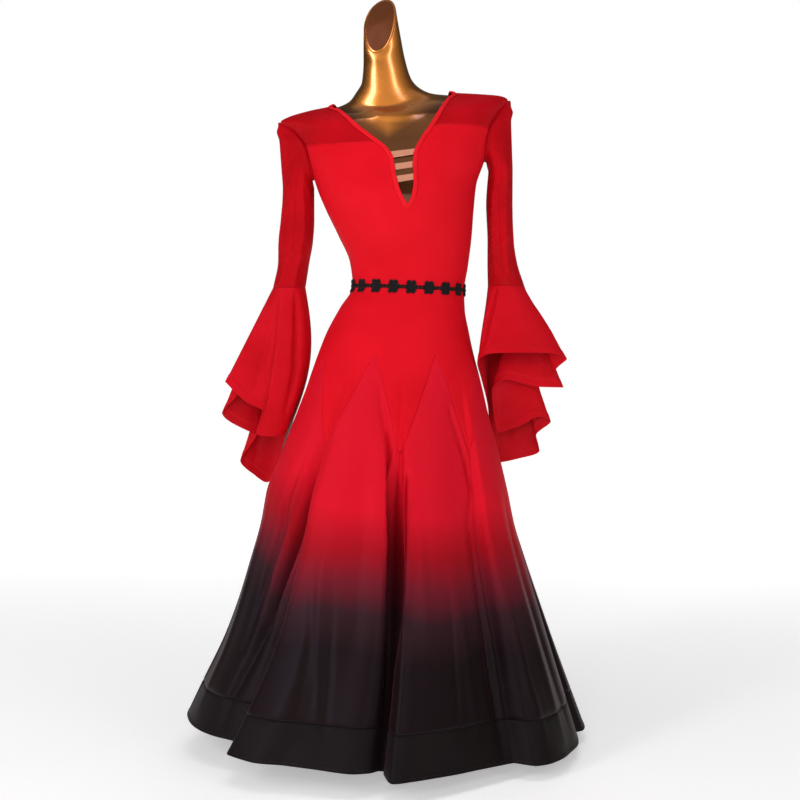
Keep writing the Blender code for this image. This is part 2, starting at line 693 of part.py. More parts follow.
def add_binding(crepe):
    angle, level = neck_path()
    points, normal = cloth_face(angle, level), normals_of(cloth_face, angle, level)
    ahead = np.roll(points, -1, axis=0) - points
    ahead /= np.linalg.norm(ahead, axis=1, keepdims=True)
    first = np.cross(ahead, normal)
    second = np.cross(np.roll(ahead, 1, axis=0), normal)
    over = first + second
    over /= np.linalg.norm(over, axis=1, keepdims=True)
    over /= np.maximum(np.sum(over * first, axis=1, keepdims=True), 0.6)
    rings = np.array([points + over * across + normal * (CREPE / MM + lift) for across, lift in BINDING])
    count = len(points)
    faces = grid_faces(len(BINDING), count, around=True)
    last = (len(BINDING) - 1) * count
    for j in range(count):
        k = (j + 1) % count
        faces.append((last + j, last + k, k, j))
    add_object("neck_binding", rings.reshape(-1, 3) * MM, faces, crepe)


def add_straps(elastic):
    sides = np.array(NECKLINE_LEFT, float), np.array(NECKLINE_RIGHT, float)
    for number, (z_left, z_right, inset) in enumerate(STRAPS, 1):
        rows = []
        for lift in (-STRAP_WIDTH / 2, 0, STRAP_WIDTH / 2):
            start = np.interp(z_left + lift, sides[0][:, 1], sides[0][:, 0]) + inset
            end = np.interp(z_right + lift, sides[1][:, 1], sides[1][:, 0]) - inset
            rows.append(on_front(np.linspace((start, z_left + lift), (end, z_right + lift), 4)))
        angle, level = np.moveaxis(np.array(rows), 1, 0)
        points = cloth_face(angle, level).reshape(-1, 3)
        normals = normals_of(cloth_face, angle, level).reshape(-1, 3)
        points, faces = wall(points, grid_faces(3, 4), normals, 0.2, 0.2 + STRAP_WALL / MM)
        add_object(f"strap_{number}", points * MM, faces, elastic)


def flower_outline():
    """Half outline of a lace flower and the link after it: place along the belt and half height."""
    outline = [(-FLOWER_PITCH / 2, LINK)]
    for turn in (180, 150, 120, 90, 60, 30, 0):
        radius = FLOWER * (0.86 + 0.14 * math.cos(math.radians(6 * turn)))
        height = max(radius * FLOWER_RISE * math.sin(math.radians(turn)), LINK)
        outline.append((radius * math.cos(math.radians(turn)), height))
    return outline


def add_belt(lace):
    fine = np.linspace(0, 360, 361)
    waist = cloth_face(fine, np.full(361, float(WAIST)))
    length = np.concatenate([[0], np.cumsum(np.linalg.norm(np.diff(waist, axis=0), axis=1))])
    flowers = round(length[-1] / FLOWER_PITCH)
    pitch = length[-1] / flowers
    places, heights = [], []
    for number in range(flowers):
        for place, height in flower_outline():
            places.append(number * pitch + place * pitch / FLOWER_PITCH)
            heights.append(height)
    start = np.interp(CENTRE, fine, length) - FLOWER_PITCH / 6
    angle = np.interp((np.array(places) + start) % length[-1], length, fine)
    heights = np.array(heights)
    rows = [WAIST - heights, WAIST + heights]
    level = np.array(rows)
    angle = np.array([angle, angle])
    points = cloth_face(angle, level).reshape(-1, 3)
    normals = normals_of(cloth_face, angle, level).reshape(-1, 3)
    faces = grid_faces(2, angle.shape[1], around=True)
    lift = CREPE / MM + 1.3
    points, faces = wall(points, faces, normals, lift, lift + BELT_WALL / MM)
    add_object("belt", points * MM, faces, lace)


# ---- form and stand ---------------------------------------------------------------------------------------------
FORM_LEVELS = (758, 790, 822, 850, 870, 884, 898, 922, 955, 992, 1033, 1058, 1083, 1108, 1134, 1152, 1170, 1184,
               1194, 1200, 1204, 1208, 1213, 1218, 1224, 1231)


def add_form(gold):
    angle = np.arange(32) * 360 / 32
    rings = []
    for row in FORM_HIPS:
        rings.append(ring_point(FORM_HIPS + RINGS[10:], angle, np.full(32, float(row[0]))))
    for level in FORM_LEVELS:
        levels = np.full(32, float(level))
        share = np.clip((level - UNDERARM) / (CHEST_SEAM - UNDERARM), 0, 1)
        gap = (EASE + (SHOULDER_EASE - EASE) * share) / MM
        rings.append(cloth_face(angle, levels) - normals_of(cloth_face, angle, levels) * gap)
    for row in FORM_NECK:
        rings.append(ring_point(RINGS[-2:] + FORM_NECK, angle, np.full(32, float(row[0]))))
    points = np.concatenate(rings)
    faces = grid_faces(len(rings), 32, around=True)
    last = (len(rings) - 1) * 32
    faces.append(tuple(reversed(range(32))))
    faces.append(tuple(range(last, last + 32)))
    add_object("form_torso", points * MM, faces, gold)


def add_turned(name, profile, material, segments=32):
    """A closed solid turned round the pole's axis from (radius, height) pairs, bottom to top."""
    around = np.arange(segments) * 2 * math.pi / segments
    rings = [np.stack([radius * np.cos(around), radius * np.sin(around), np.full(segments, height)], -1)
             for radius, height in profile]
    faces = grid_faces(len(rings), segments, around=True)
    last = (len(rings) - 1) * segments
    faces.append(tuple(reversed(range(segments))))
    faces.append(tuple(range(last, last + segments)))
    add_object(name, np.concatenate(rings), faces, material)


def add_stand(steel):
    top = BASE_HEIGHT
    add_turned("form_base", (
        (BASE_RADIUS - 2 * MM, 0), (BASE_RADIUS, 2 * MM), (BASE_RADIUS, top - 3 * MM), (BASE_RADIUS - 4 * MM, top),
        (COLLAR_RADIUS, top + 1 * MM), (COLLAR_RADIUS - 4 * MM, top + COLLAR_HEIGHT - 4 * MM),
        (COLLAR_RADIUS - 8 * MM, top + COLLAR_HEIGHT),
    ), steel, segments=40)
    low = top + COLLAR_HEIGHT + SEAM
    high = FORM_HIPS[0][0] * MM - SEAM
    add_turned("form_pole", (
        (POLE_RADIUS, low), (POLE_RADIUS, high - 30 * MM), (POLE_RADIUS + 12 * MM, high - 12 * MM),
        (POLE_RADIUS + 12 * MM, high),
    ), steel, segments=24)


def main():
    for thing in list(bpy.data.objects):
        bpy.data.objects.remove(thing)
    crepe = add_material("red_crepe", (0.72, 0.012, 0.024), 0.62)
    net = add_material("red_mesh", (0.50, 0.006, 0.012), 0.55)
    georgette = add_material("dipped_georgette", (0.60, 0.020, 0.045), 0.50)
    band = add_material("black_georgette", (0.012, 0.008, 0.009), 0.50)
    lace = add_material("black_lace", (0.010, 0.008, 0.009), 0.80)
    elastic = add_material("tan_elastic", (0.60, 0.33, 0.20), 0.60)
    gold = add_material("gold_lacquer", (0.55, 0.28, 0.06), 0.22, metallic=0.9)
    steel = add_material("brushed_steel", (0.45, 0.45, 0.46), 0.35, metallic=1.0)
    add_bodices(crepe)
    add_yokes(net)
    add_gores(georgette)
    add_hem_band(band)
    add_sleeve("sleeve_left", -1, SLEEVE_LEFT, net)
    add_sleeve("sleeve_right", 1, SLEEVE_RIGHT, net)
    add_flounce("flounce_left", -1, FLOUNCE_LEFT, SLEEVE_LEFT[-1], FLOUNCE_BOW[0], georgette)
    add_flounce("flounce_right", 1, FLOUNCE_RIGHT, SLEEVE_RIGHT[-1], FLOUNCE_BOW[1], georgette)
    add_binding(crepe)
    add_straps(elastic)
    add_belt(lace)
    add_form(gold)
    add_stand(steel)


main()
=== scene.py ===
import math

import bmesh
import bpy
import numpy as np
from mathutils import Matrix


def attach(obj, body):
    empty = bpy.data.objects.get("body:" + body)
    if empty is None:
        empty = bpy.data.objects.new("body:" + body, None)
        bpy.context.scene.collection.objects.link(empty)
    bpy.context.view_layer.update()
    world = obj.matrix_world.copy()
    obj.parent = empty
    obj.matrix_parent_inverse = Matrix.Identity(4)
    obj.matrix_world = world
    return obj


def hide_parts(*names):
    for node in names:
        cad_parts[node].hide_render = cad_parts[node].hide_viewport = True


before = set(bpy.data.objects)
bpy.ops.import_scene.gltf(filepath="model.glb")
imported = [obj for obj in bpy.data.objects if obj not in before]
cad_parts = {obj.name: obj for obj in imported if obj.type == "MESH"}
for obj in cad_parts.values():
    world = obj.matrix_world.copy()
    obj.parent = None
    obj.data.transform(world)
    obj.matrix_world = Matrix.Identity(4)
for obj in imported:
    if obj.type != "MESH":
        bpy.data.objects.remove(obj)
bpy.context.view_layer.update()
print("frame loaded:", len(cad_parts), "nodes")

# Tables are in millimetres and degrees, as the pattern is. Angles run round the body from the centre front towards +X.
mm = 0.001
# above the hip the bodice's rows are level, and below it the side seams have turned with the hips
heights = {
    "hem": 40, "bandTop": 110, "vPoint": 575, "foldStart": 715, "apex": 758, "hip": 790, "waist": 884, "plunge": 1033,
    "underarm": 1108, "chestSeam": 1170, "shoulderTip": 1204, "neckPoint": 1224}
cloth = {"crepe": 1.5, "georgette": 1.3, "mesh": 1.2, "ease": 1.4, "shoulderEase": 4.3}
seamGrooves = {"crepe": (0.7, 2.2), "georgette": (1.1, 2.8), "mesh": (0.6, 2.0)}     # depth and width
turnedHips = 5.6                # the hips face a little to the right
armholeHalf = 20
sideNames = {-1: "Left", 1: "Right"}

# level at the front, left x and z, right x and z, front, back, back z, squareness
bodyRings = np.array((
    (40, -402, 59, 366, 23, -395, 388, 41, 0.0), (110, -371, 125, 341, 97, -362, 356, 110, 0.0),
    (200, -331, 210, 309, 192, -322, 317, 200, 0.0), (280, -304, 286, 282, 275, -291, 287, 280, 0.0),
    (350, -284, 354, 259, 347, -265, 262, 350, 0.0), (430, -262, 432, 235, 429, -236, 235, 430, 0.0),
    (490, -250, 490, 222, 490, -214, 214, 490, 0.0), (575, -217, 575, 201, 575, -181, 186, 575, 0.0),
    (640, -191, 640, 183, 640, -157, 163, 640, 0.0), (705, -165, 705, 167, 705, -128, 138, 705, 0.01),
    (758, -146, 758, 153, 758, -112, 123, 758, 0.02), (800, -129, 800, 144, 800, -103, 111, 800, 0.03),
    (845, -104, 846, 136, 845, -93, 93, 845, 0.03), (884, -79, 889, 135, 880, -85, 77, 884, 0.03),
    (930, -84, 934, 142, 927, -87, 80, 932, 0.03), (985, -107, 988, 149, 983, -97, 91, 988, 0.035),
    (1033, -128, 1031, 153, 1037, -109, 98, 1036, 0.04), (1075, -144, 1068, 158, 1085, -115, 100, 1078, 0.04),
    (1108, -153, 1094, 173, 1129, -112, 100, 1114, 0.04), (1142, -168, 1131, 181, 1161, -105, 100, 1149, 0.04),
    (1170, -177, 1158, 190, 1194, -96, 98, 1179, 0.03), (1193, -196, 1188, 206, 1227, -87, 92, 1206, 0.02),
    (1204, -218, 1206, 219, 1248, -81, 87, 1219, 0.01), (1210, -203, 1215, 206, 1255, -77, 83, 1226, 0.0),
    (1217, -163, 1227, 163, 1259, -71, 76, 1236, 0.0), (1224, -117, 1237, 109, 1262, -64, 67, 1248, 0.0),
    (1231, -89, 1249, 76, 1265, -57, 60, 1257, 0.0)))

# where each gore starts at the V's and at the hem, its top, and its hem's push at each of foldPlaces
foldPlaces = np.array((-1, -0.87, -0.64, -0.34, 0, 0.34, 0.66, 0.86))
goreSeams = np.array((
    (5.6, -0.5, 30.0), (48.5, 42, 72.0), (95.6, 84, 118.1), (140.6, 128, 163.1), (185.6, 180, 208.1),
    (230.6, 230, 253.1), (275.6, 265, 297.0), (321.5, 308, 345.7)))
goreFolds = np.array((
    (-41, 34, 19, -1, -18, -32, -38, -39), (-38, 2, 10, 8, 2, 0, -6, -10), (-13, 2, 9, 11, 6, -4, -14, -24),
    (-36, 18, 15, 4, -8, -18, -27, -33), (-40, 20, 16, 4, -8, -16, -25, -31), (-34, 12, 14, 5, -2, -8, -15, -21),
    (-26, -7, 0, -2, -5, -12, -24, -35), (-40, -28, 16, 17, -4, -10, -7, -20)), float)


# ---- reading tables
def middleSlope(before, after):
    # the harmonic mean of the slopes on a row's two sides, or level where they turn back
    both = before * after
    return np.where(both > 0, 2 * both / np.where(both > 0, before + after, 1), 0)


def cubicPiece(t, width, ends, slopes):
    # a cubic from one end to the other that has these slopes there
    bend = t * (1 - t) ** 2 * slopes[0] - t * t * (1 - t) * slopes[1]
    return ends[0] + (ends[1] - ends[0]) * (3 - 2 * t) * t * t + bend * width


def readCurve(xs, ys, x):
    # cubic pieces through the rows of a table that never overshoot them
    rise = np.diff(ys, axis=0) / np.diff(xs)[:, None]
    slope = np.concatenate([rise[:1], middleSlope(rise[:-1], rise[1:]), rise[-1:]])
    row = np.clip(np.searchsorted(xs, x, side="right") - 1, 0, len(xs) - 2)
    width = (xs[row + 1] - xs[row])[..., None]
    return cubicPiece((x - xs[row])[..., None] / width, width, (ys[row], ys[row + 1]), (slope[row], slope[row + 1]))


def readClosed(keys, values, x, period):
    # the same round a table that closes on itself
    rows = np.concatenate([keys[-2:] - period, keys, keys[:2] + period])
    return readCurve(rows, np.concatenate([values[-2:], values, values[:2]]), (x - keys[0]) % period + keys[0])


def readLinear(xs, table, x):
    # straight pieces through the rows of a table
    return np.stack([np.interp(x, xs, column) for column in np.transpose(table)], -1)


def alongPlaces(places, count):
    # a line of this many points through a few places: an array for each of their numbers
    return readLinear(np.linspace(0, 1, len(places)), places, np.linspace(0, 1, count)).T


def walkedAlong(points):
    # the way walked to each point of a line, or the mean way walked to each ring of a stack
    steps = np.linalg.norm(np.diff(points, axis=0), axis=-1)
    return np.concatenate([[0], np.cumsum(steps.reshape(len(steps), -1).mean(axis=1))])


def rowsThrough(stack, shares):
    # cubic rows through a stack of rings, at shares of the way walked from the first to the last
    walked = walkedAlong(stack)
    return readCurve(walked, stack.reshape(len(stack), -1), walked[-1] * shares).reshape(len(shares), -1, 3)


def shareBetween(level, start, end):
    # how far a level lies on the way from one named height to another
    return np.clip((level - heights[start]) / (heights[end] - heights[start]), 0, 1)


def unit(vectors):
    # vectors over their own lengths
    return vectors / np.linalg.norm(vectors, axis=-1, keepdims=True)


# ---- the surface that every panel lies on
def ringPoint(rings, angle, level):
    # an ellipse with its own left, right, front and back at each level, tilted to their heights
    left, leftZ, right, rightZ, front, back, backZ, square = np.moveaxis(
        readCurve(rings[:, 0], rings[:, 1:], level), -1, 0)
    turn = np.radians(angle)
    sine, cosine = np.sin(turn), np.cos(turn)
    fuller = 1 + square * np.sin(2 * turn) ** 2
    x = (left + right) / 2 + (right - left) / 2 * sine * fuller
    y = -np.where(cosine > 0, -front, back) * cosine * fuller
    z = ((level + backZ) / 2 * cosine**2 + (leftZ + rightZ) / 2 * sine**2
         + (rightZ - leftZ) / 2 * sine + (level - backZ) / 2 * cosine)
    return np.stack([x, y, z], -1)


def goreAngle(index, place, level):
    # from a gore's left seam at -1 through its top's line at 0 to its right seam at 1
    start, hemStart, top = goreSeams[index]
    end, hemEnd, _ = goreSeams[(index + 1) % 8]
    drop = shareBetween(level, "vPoint", "hem")
    left = start + (hemStart - start) * drop
    right = end + (360 if index == 7 else 0) + (hemEnd - end) * drop
    middle = top + ((left + right) / 2 - top) * drop
    return middle + np.where(place < 0, middle - left, right - middle) * place


def foldPush(angle, level):
    # a closed cubic through the hem's pushes at this level's own fold angles, growing from foldStart down
    flatAngle, flatLevel = np.ravel(angle), np.ravel(level)
    push = np.zeros(flatAngle.shape)
    low = flatLevel < heights["foldStart"]
    if low.any():
        keys = np.concatenate([goreAngle(i, foldPlaces[None], flatLevel[low][:, None]) for i in range(8)], axis=1)
        x = (flatAngle[low] - keys[:, 0]) % 360 + keys[:, 0]
        keys = np.concatenate([keys[:, -2:] - 360, keys, keys[:, :2] + 360], axis=1)
        row = np.clip((keys <= x[:, None]).sum(axis=1) - 1, 1, keys.shape[1] - 3)
        near = row[:, None] + np.arange(-1, 3)
        key, value = np.take_along_axis(keys, near, axis=1).T, np.pad(goreFolds.ravel(), 2, mode="wrap")[near].T
        step = np.diff(key, axis=0)
        rise = np.diff(value, axis=0) / step
        push[low] = cubicPiece((x - key[1]) / step[1], step[1], value[1:3], middleSlope(rise[:-1], rise[1:]))
    share = shareBetween(flatLevel, "foldStart", "hem")
    push *= np.where(push < 0, share**0.9, share**1.6)
    return push.reshape(np.shape(angle))


def clothFace(angle, level):
    # the ring's point, moved level and outwards by the fold's push
    turn = np.radians(angle)
    outward = np.stack([np.sin(turn), -np.cos(turn), np.zeros(np.shape(turn))], -1)
    return ringPoint(bodyRings, angle, level) + outward * foldPush(angle, level)[..., None]


def faceNormals(angle, level):
    # the cross product of a small step round and a small step up
    across = clothFace(angle + 0.05, level) - clothFace(angle - 0.05, level)
    return unit(np.cross(across, clothFace(angle, level + 0.1) - clothFace(angle, level - 0.1)))


def raised(angle, level, relief):
    # the cloth's face moved along its normals
    return clothFace(angle, level) + faceNormals(angle, level) * np.asarray(relief)[..., None]


def onFront(places):
    # the angle and level whose point has this x and z, found by stepping the level
    x, z = np.array(places, float).T
    level = z.copy()
    for _ in range(40):
        leftX, rightX = (ringPoint(bodyRings, np.full(len(x), turn), level)[:, 0] for turn in (-90.0, 90.0))
        sine = np.clip((x - (leftX + rightX) / 2) / ((rightX - leftX) / 2), -0.999, 0.999)
        angle = np.degrees(np.arcsin(sine))
        error = z - ringPoint(bodyRings, angle, level)[:, 2]
        level = np.clip(level + 0.6 * error, bodyRings[0, 0], bodyRings[-1, 0])
    return angle, level


def nearLine(points, line, reach):
    # the points in the box round a line, for which a relief beside it is worked out
    return (np.abs(points - line.mean(axis=0)) < np.ptp(line, axis=0) / 2 + 3 * reach + 20).all(axis=-1)


def bellAlong(points, line, width, depth):
    # a trough or ridge beside a line of points: a bell across it that fades to its ends
    fade = np.sin(math.pi * np.linspace(0.04, 0.96, len(line))) ** 0.7
    relief = np.zeros(points.shape[:-1])
    near = nearLine(points, line, width)
    gap = np.linalg.norm(points[near][:, None] - line, axis=-1)
    relief[near] = depth * fade[gap.argmin(axis=-1)] * np.exp(-(gap.min(axis=-1) / width) ** 2)
    return relief


def pleatAlong(points, line, side, reach, depth):
    # a pleat's hollow: a steep drop at the line, then a slow rise over its reach on one side
    down = np.linspace(0, 1, len(line))
    fade = (np.sin(math.pi / 2 * np.clip(down / 0.2, 0, 1)) ** 2
            * np.sin(math.pi / 2 * np.clip((1 - down) / 0.5, 0, 1)) ** 1.5)
    relief = np.zeros(points.shape[:-1])
    near = nearLine(points, line, reach)
    nearest = np.linalg.norm(points[near][:, None] - line, axis=-1).argmin(axis=-1)
    outward = unit(line[nearest, :2])
    apart = points[near] - line[nearest]
    gap = side * (apart[:, 1] * outward[:, 0] - apart[:, 0] * outward[:, 1])
    drop = np.clip((gap + 2) / 5, 0, 1)
    slow = np.exp(-(np.clip(gap, 0, None) / reach) ** 1.6)
    relief[near] = depth * fade[nearest] * (3 - 2 * drop) * drop**2 * slow
    return relief


def softCreases(points, creases):
    # the bells of all the creases, whose places are angles and levels
    return sum(bellAlong(points, clothFace(*alongPlaces(places, 40)), width, depth)
               for width, depth, *places in creases)


def pleats(points):
    # the hollows of all the pressed pleats
    return sum(pleatAlong(points, clothFace(*alongPlaces(places, 90)), side, reach, depth)
               for side, reach, depth, *places in skirtPleats)


# ---- making meshes
def arcUv(points):
    # metres across each row from its middle, and metres up each column
    across, up = (np.cumsum(np.insert(np.linalg.norm(np.diff(points, axis=axis), axis=2), 0, 0, axis=axis), axis=axis)
                  for axis in (1, 0))
    return np.stack([across - across[:, [across.shape[1] // 2]], up], -1) * mm


def gridQuads(rows, columns, first=0):
    # rows go up and columns go round, so the faces look outwards
    index = np.arange(rows * columns).reshape(rows, columns) + first
    return np.stack([index[:-1, :-1], index[:-1, 1:], index[1:, 1:], index[1:, :-1]], -1).reshape(-1, 4)


def addGrids(name, grids, finishes, folds=None):
    # one mesh from grids of points in mm; a grid that goes round repeats its first column, and doubles are merged
    # the last grid takes the last finish, and the others the first
    points = np.concatenate([grid.reshape(-1, 3) for grid in grids]) * mm
    firsts = np.cumsum([0] + [grid.shape[0] * grid.shape[1] for grid in grids])
    quads = [gridQuads(*grid.shape[:2], first) for grid, first in zip(grids, firsts)]
    finishOf = np.repeat((0, len(finishes) - 1), (sum(map(len, quads[:-1])), len(quads[-1])))
    quads = np.concatenate(quads)
    uv = np.concatenate([arcUv(grid).reshape(-1, 2) for grid in grids])
    mesh = bpy.data.meshes.new(name)
    mesh.from_pydata(points.tolist(), [], quads.tolist())
    mesh.uv_layers.new(name="cloth").data.foreach_set("uv", uv[quads.ravel()].ravel())
    # painted shade: how far into a pleat each point lies, for the finish to darken the colour there
    if folds is not None:
        mesh.attributes.new("fold", "FLOAT", "POINT").data.foreach_set("value", folds.ravel())
    for finish in finishes:
        mesh.materials.append(finish)
    mesh.polygons.foreach_set("material_index", finishOf.astype(np.int32))
    shape = bmesh.new()
    shape.from_mesh(mesh)
    bmesh.ops.remove_doubles(shape, verts=shape.verts[:], dist=2e-6)
    shape.to_mesh(mesh)
    shape.free()
    mesh.shade_smooth()
    thing = bpy.data.objects.new(name, mesh)
    bpy.context.scene.collection.objects.link(thing)
    return thing


def addPiece(name, grids, finishes, slot, node=None, wall=None, flat=None, held="stretched", area=None,
             restsOn=("form_torso",), folds=None):
    # the piece rides on the one body and stands for its node; cloth has a wall (thickness, offset); slot, flat, held,
    # area and restsOn are not used
    thing = addGrids(name, grids, finishes, folds)
    if wall:
        solidify = thing.modifiers.new("wall", "SOLIDIFY")
        solidify.thickness, solidify.offset = wall[0] * mm, wall[1]
        solidify.use_quality_normals = True
    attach(thing, "root")
    if node:
        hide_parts(node)


# ---- finishes
def addNode(tree, kind, sockets, **settings):
    # a socket takes another node's output, a number or a colour, and None leaves it alone
    made = tree.nodes.new("ShaderNode" + kind)
    for key, value in settings.items():
        setattr(made, key, value)
    for key, value in sockets.items():
        if isinstance(value, bpy.types.NodeSocket):
            tree.links.new(value, made.inputs[key])
        elif isinstance(value, tuple) and made.inputs[key].type == "RGBA":
            made.inputs[key].default_value = (*value, 1)
        elif value is not None:
            made.inputs[key].default_value = value
    return made


def ramp(tree, source, stops):
    # colours by place, straight between the stops
    made = addNode(tree, "ValToRGB", {"Fac": source})
    while len(made.color_ramp.elements) < len(stops):
        made.color_ramp.elements.new(0.5)
    for element, (place, colour) in zip(made.color_ramp.elements, stops):
        element.position, element.color = place, (*colour, 1)
    return made.outputs["Color"]


def maths(tree, operation, a, b=None):
    return addNode(tree, "Math", {0: a, 1: b}, operation=operation).outputs[0]


def plus(tree, a, b):
    return maths(tree, "ADD", a, b)


def minus(tree, a, b):
    return maths(tree, "SUBTRACT", a, b)


def times(tree, a, b):
    return maths(tree, "MULTIPLY", a, b)


def mixColour(tree, share, a, b, blend="MIX"):
    return addNode(tree, "Mix", {0: share, 6: a, 7: b}, data_type="RGBA", blend_type=blend).outputs[2]


def slopeBetween(tree, source, start, end, top=1.0, foot=0.0):
    # a smooth step from foot to top between two values
    return addNode(tree, "MapRange", {"Value": source, "From Min": start, "From Max": end, "To Min": foot,
                                      "To Max": top}, interpolation_type="SMOOTHSTEP").outputs[0]


def partsOf(tree, source):
    return addNode(tree, "SeparateXYZ", {0: source}).outputs


def objectPlace(tree):
    return addNode(tree, "TexCoord", {}).outputs["Object"]


def clothPlace(tree):
    return partsOf(tree, addNode(tree, "UVMap", {}, uv_map="cloth").outputs[0])


def noise(tree, scale, detail=2.0, stretch=None):
    # fractal noise at the place on the object, which may be stretched
    place = objectPlace(tree)
    if stretch:
        place = addNode(tree, "Mapping", {"Vector": place, "Scale": stretch}).outputs[0]
    return addNode(tree, "TexNoise", {"Vector": place, "Scale": scale, "Detail": detail}).outputs["Fac"]


def between(tree, source, low, high):
    # a colour between two, by the middle part of a noise
    return ramp(tree, source, ((0.3, low), (0.7, high)))


def wave(tree, source, length):
    # a sine of a place on the cloth, with its length in mm
    return maths(tree, "SINE", times(tree, source, 2 * math.pi / (length * mm)))


def weave(tree, thread):
    # two families of threads, crossed over and under: the product of two waves on the cloth's own UV
    across, up, _ = clothPlace(tree)
    return times(tree, times(tree, wave(tree, across, thread), wave(tree, up, thread)), 0.3)


def feed(tree, socket, source):
    # link to the material's own shader
    tree.links.new(source, tree.nodes["Principled BSDF"].inputs[socket])


def grainBump(tree, height, strength, distance):
    bump = addNode(tree, "Bump", {"Height": height, "Strength": strength, "Distance": distance * mm})
    feed(tree, "Normal", bump.outputs[0])


def newFinish(name, roughness, specular=0.5, sheen=(0, 0.5, (1, 1, 1)), metallic=0, coat=0):
    # the sheen is its weight, roughness and tint
    material = bpy.data.materials.new(name)
    material.use_nodes = True
    shader = material.node_tree.nodes["Principled BSDF"]
    for key, value in (("Roughness", roughness), ("Metallic", metallic), ("Specular IOR Level", specular),
                       ("Sheen Weight", sheen[0]), ("Sheen Roughness", sheen[1]), ("Sheen Tint", (*sheen[2], 1)),
                       ("Coat Weight", coat)):
        shader.inputs[key].default_value = value
    return material, material.node_tree


crepeLooks = {
    "redCrepe": {"roughness": 0.6, "shade": (0.60, 0.0035, 0.010), "colour": (0.74, 0.0065, 0.017)},
    "redBinding": {"roughness": 0.5, "shade": (0.68, 0.006, 0.014), "colour": (0.80, 0.010, 0.020)}}


def crepeFinish(name):
    # soft clouds and fine pebbles between two reds, over a close weave
    look = crepeLooks[name]
    material, tree = newFinish(name, look["roughness"], 0.06, (0.05, 0.4, (1.0, 0.08, 0.10)))
    pebble = noise(tree, 1300.0, 1.0)
    tone = plus(tree, times(tree, noise(tree, 9.0), 0.8), times(tree, pebble, 0.3))
    feed(tree, "Base Color", ramp(tree, tone, ((0.25, look["shade"]), (0.75, look["colour"]))))
    grainBump(tree, plus(tree, pebble, weave(tree, 0.7)), 0.35, 0.25)
    return material


netLook = {"colour": (0.44, 0.0026, 0.007), "thread": (0.55, 0.0035, 0.010), "cell": 1.1, "open": 0.58}


def netFinish():
    # round holes on a grid of cells in the cloth's UV: the product of two waves, cut at a level
    material, tree = newFinish("redPowerMesh", 0.55, 0.06)
    across, up, _ = clothPlace(tree)
    hole = times(tree, wave(tree, across, netLook["cell"]), wave(tree, up, netLook["cell"] * 1.5))
    opened = times(tree, maths(tree, "GREATER_THAN", hole, 0.3), 1 - netLook["open"])
    feed(tree, "Alpha", minus(tree, 1.0, opened))
    feed(tree, "Base Color", between(tree, noise(tree, 14.0), netLook["colour"], netLook["thread"]))
    grainBump(tree, times(tree, hole, -0.5), 0.3, 0.2)
    return material


# painted shade beside the left pleat's edge lies along a line: its lean, then its two edges and how far the dark
# colour is raised there; rises: two edges in x and how far the dark colour is raised; the last colour is multiplied in
# as painted shade inside the pleats
dyeLook = {
    "stops": (
        (0.0, (0.0080, 0.0040, 0.0052)), (0.28, (0.030, 0.010, 0.014)), (0.5, (0.16, 0.010, 0.020)),
        (0.72, (0.36, 0.0050, 0.012)), (1.0, (0.66, 0.0065, 0.020))),
    "middle": 0.345, "reach": 0.125, "tilt": -0.10, "fold": (0.36, -0.344, -0.358, 0.045),
    "rises": ((-0.22, -0.30, 0.03), (0.10, 0.19, 0.02)), "pleatShadeColour": (0.30, 0.27, 0.28)}


def dippedColour(tree):
    # the dye's place is the height, less a tilt across the skirt, with a cloud where the dye ran, less a painted shade
    # beside the left pleat and the rises; the pleats' hollows get painted shade
    x, _, z = partsOf(tree, objectPlace(tree))
    level = minus(tree, z, times(tree, x, dyeLook["tilt"]))
    ran = noise(tree, 7.0, 3.0, (1.0, 1.0, 0.35))
    level = plus(tree, level, times(tree, minus(tree, ran, 0.5), 0.05))
    # painted shade: the dark colour reaches higher beside the left pleat's edge
    lean, *edges = dyeLook["fold"]
    level = minus(tree, level, slopeBetween(tree, minus(tree, x, times(tree, z, lean)), *edges))
    for edges in dyeLook["rises"]:
        level = minus(tree, level, slopeBetween(tree, x, *edges))
    share = maths(tree, "DIVIDE", minus(tree, level, dyeLook["middle"] - dyeLook["reach"]), 2 * dyeLook["reach"])
    # painted shade: the colour is multiplied darker inside the pleats
    folded = addNode(tree, "Attribute", {}, attribute_name="fold").outputs["Fac"]
    return mixColour(tree, folded, ramp(tree, share, dyeLook["stops"]), dyeLook["pleatShadeColour"], "MULTIPLY")


# roughness, sheen, strength of the grain, and the cloud's scale and two colours where it isn't dip dyed
georgetteLooks = {
    "dippedGeorgette": (0.42, (0.05, 0.3, (1.0, 0.25, 0.3)), 0.3),
    "redGeorgette": (0.42, (0.05, 0.3, (1.0, 0.25, 0.3)), 0.3, 12.0, (0.50, 0.0035, 0.009), (0.58, 0.0050, 0.014)),
    "blackGeorgette": (
        0.5, (0.04, 0.3, (0.9, 0.5, 0.55)), 0.35, 10.0, (0.0060, 0.0043, 0.0048), (0.0095, 0.0065, 0.0072))}


def georgetteFinish(name):
    # the dip dye or a cloud of two colours, over a fine grain and an open weave
    roughness, sheen, strength, *cloud = georgetteLooks[name]
    material, tree = newFinish(name, roughness, 0.07, sheen)
    feed(tree, "Base Color", between(tree, noise(tree, cloud[0]), *cloud[1:]) if cloud else dippedColour(tree))
    grainBump(tree, plus(tree, noise(tree, 1500.0, 1.0), weave(tree, 0.55)), strength, 0.2)
    return material


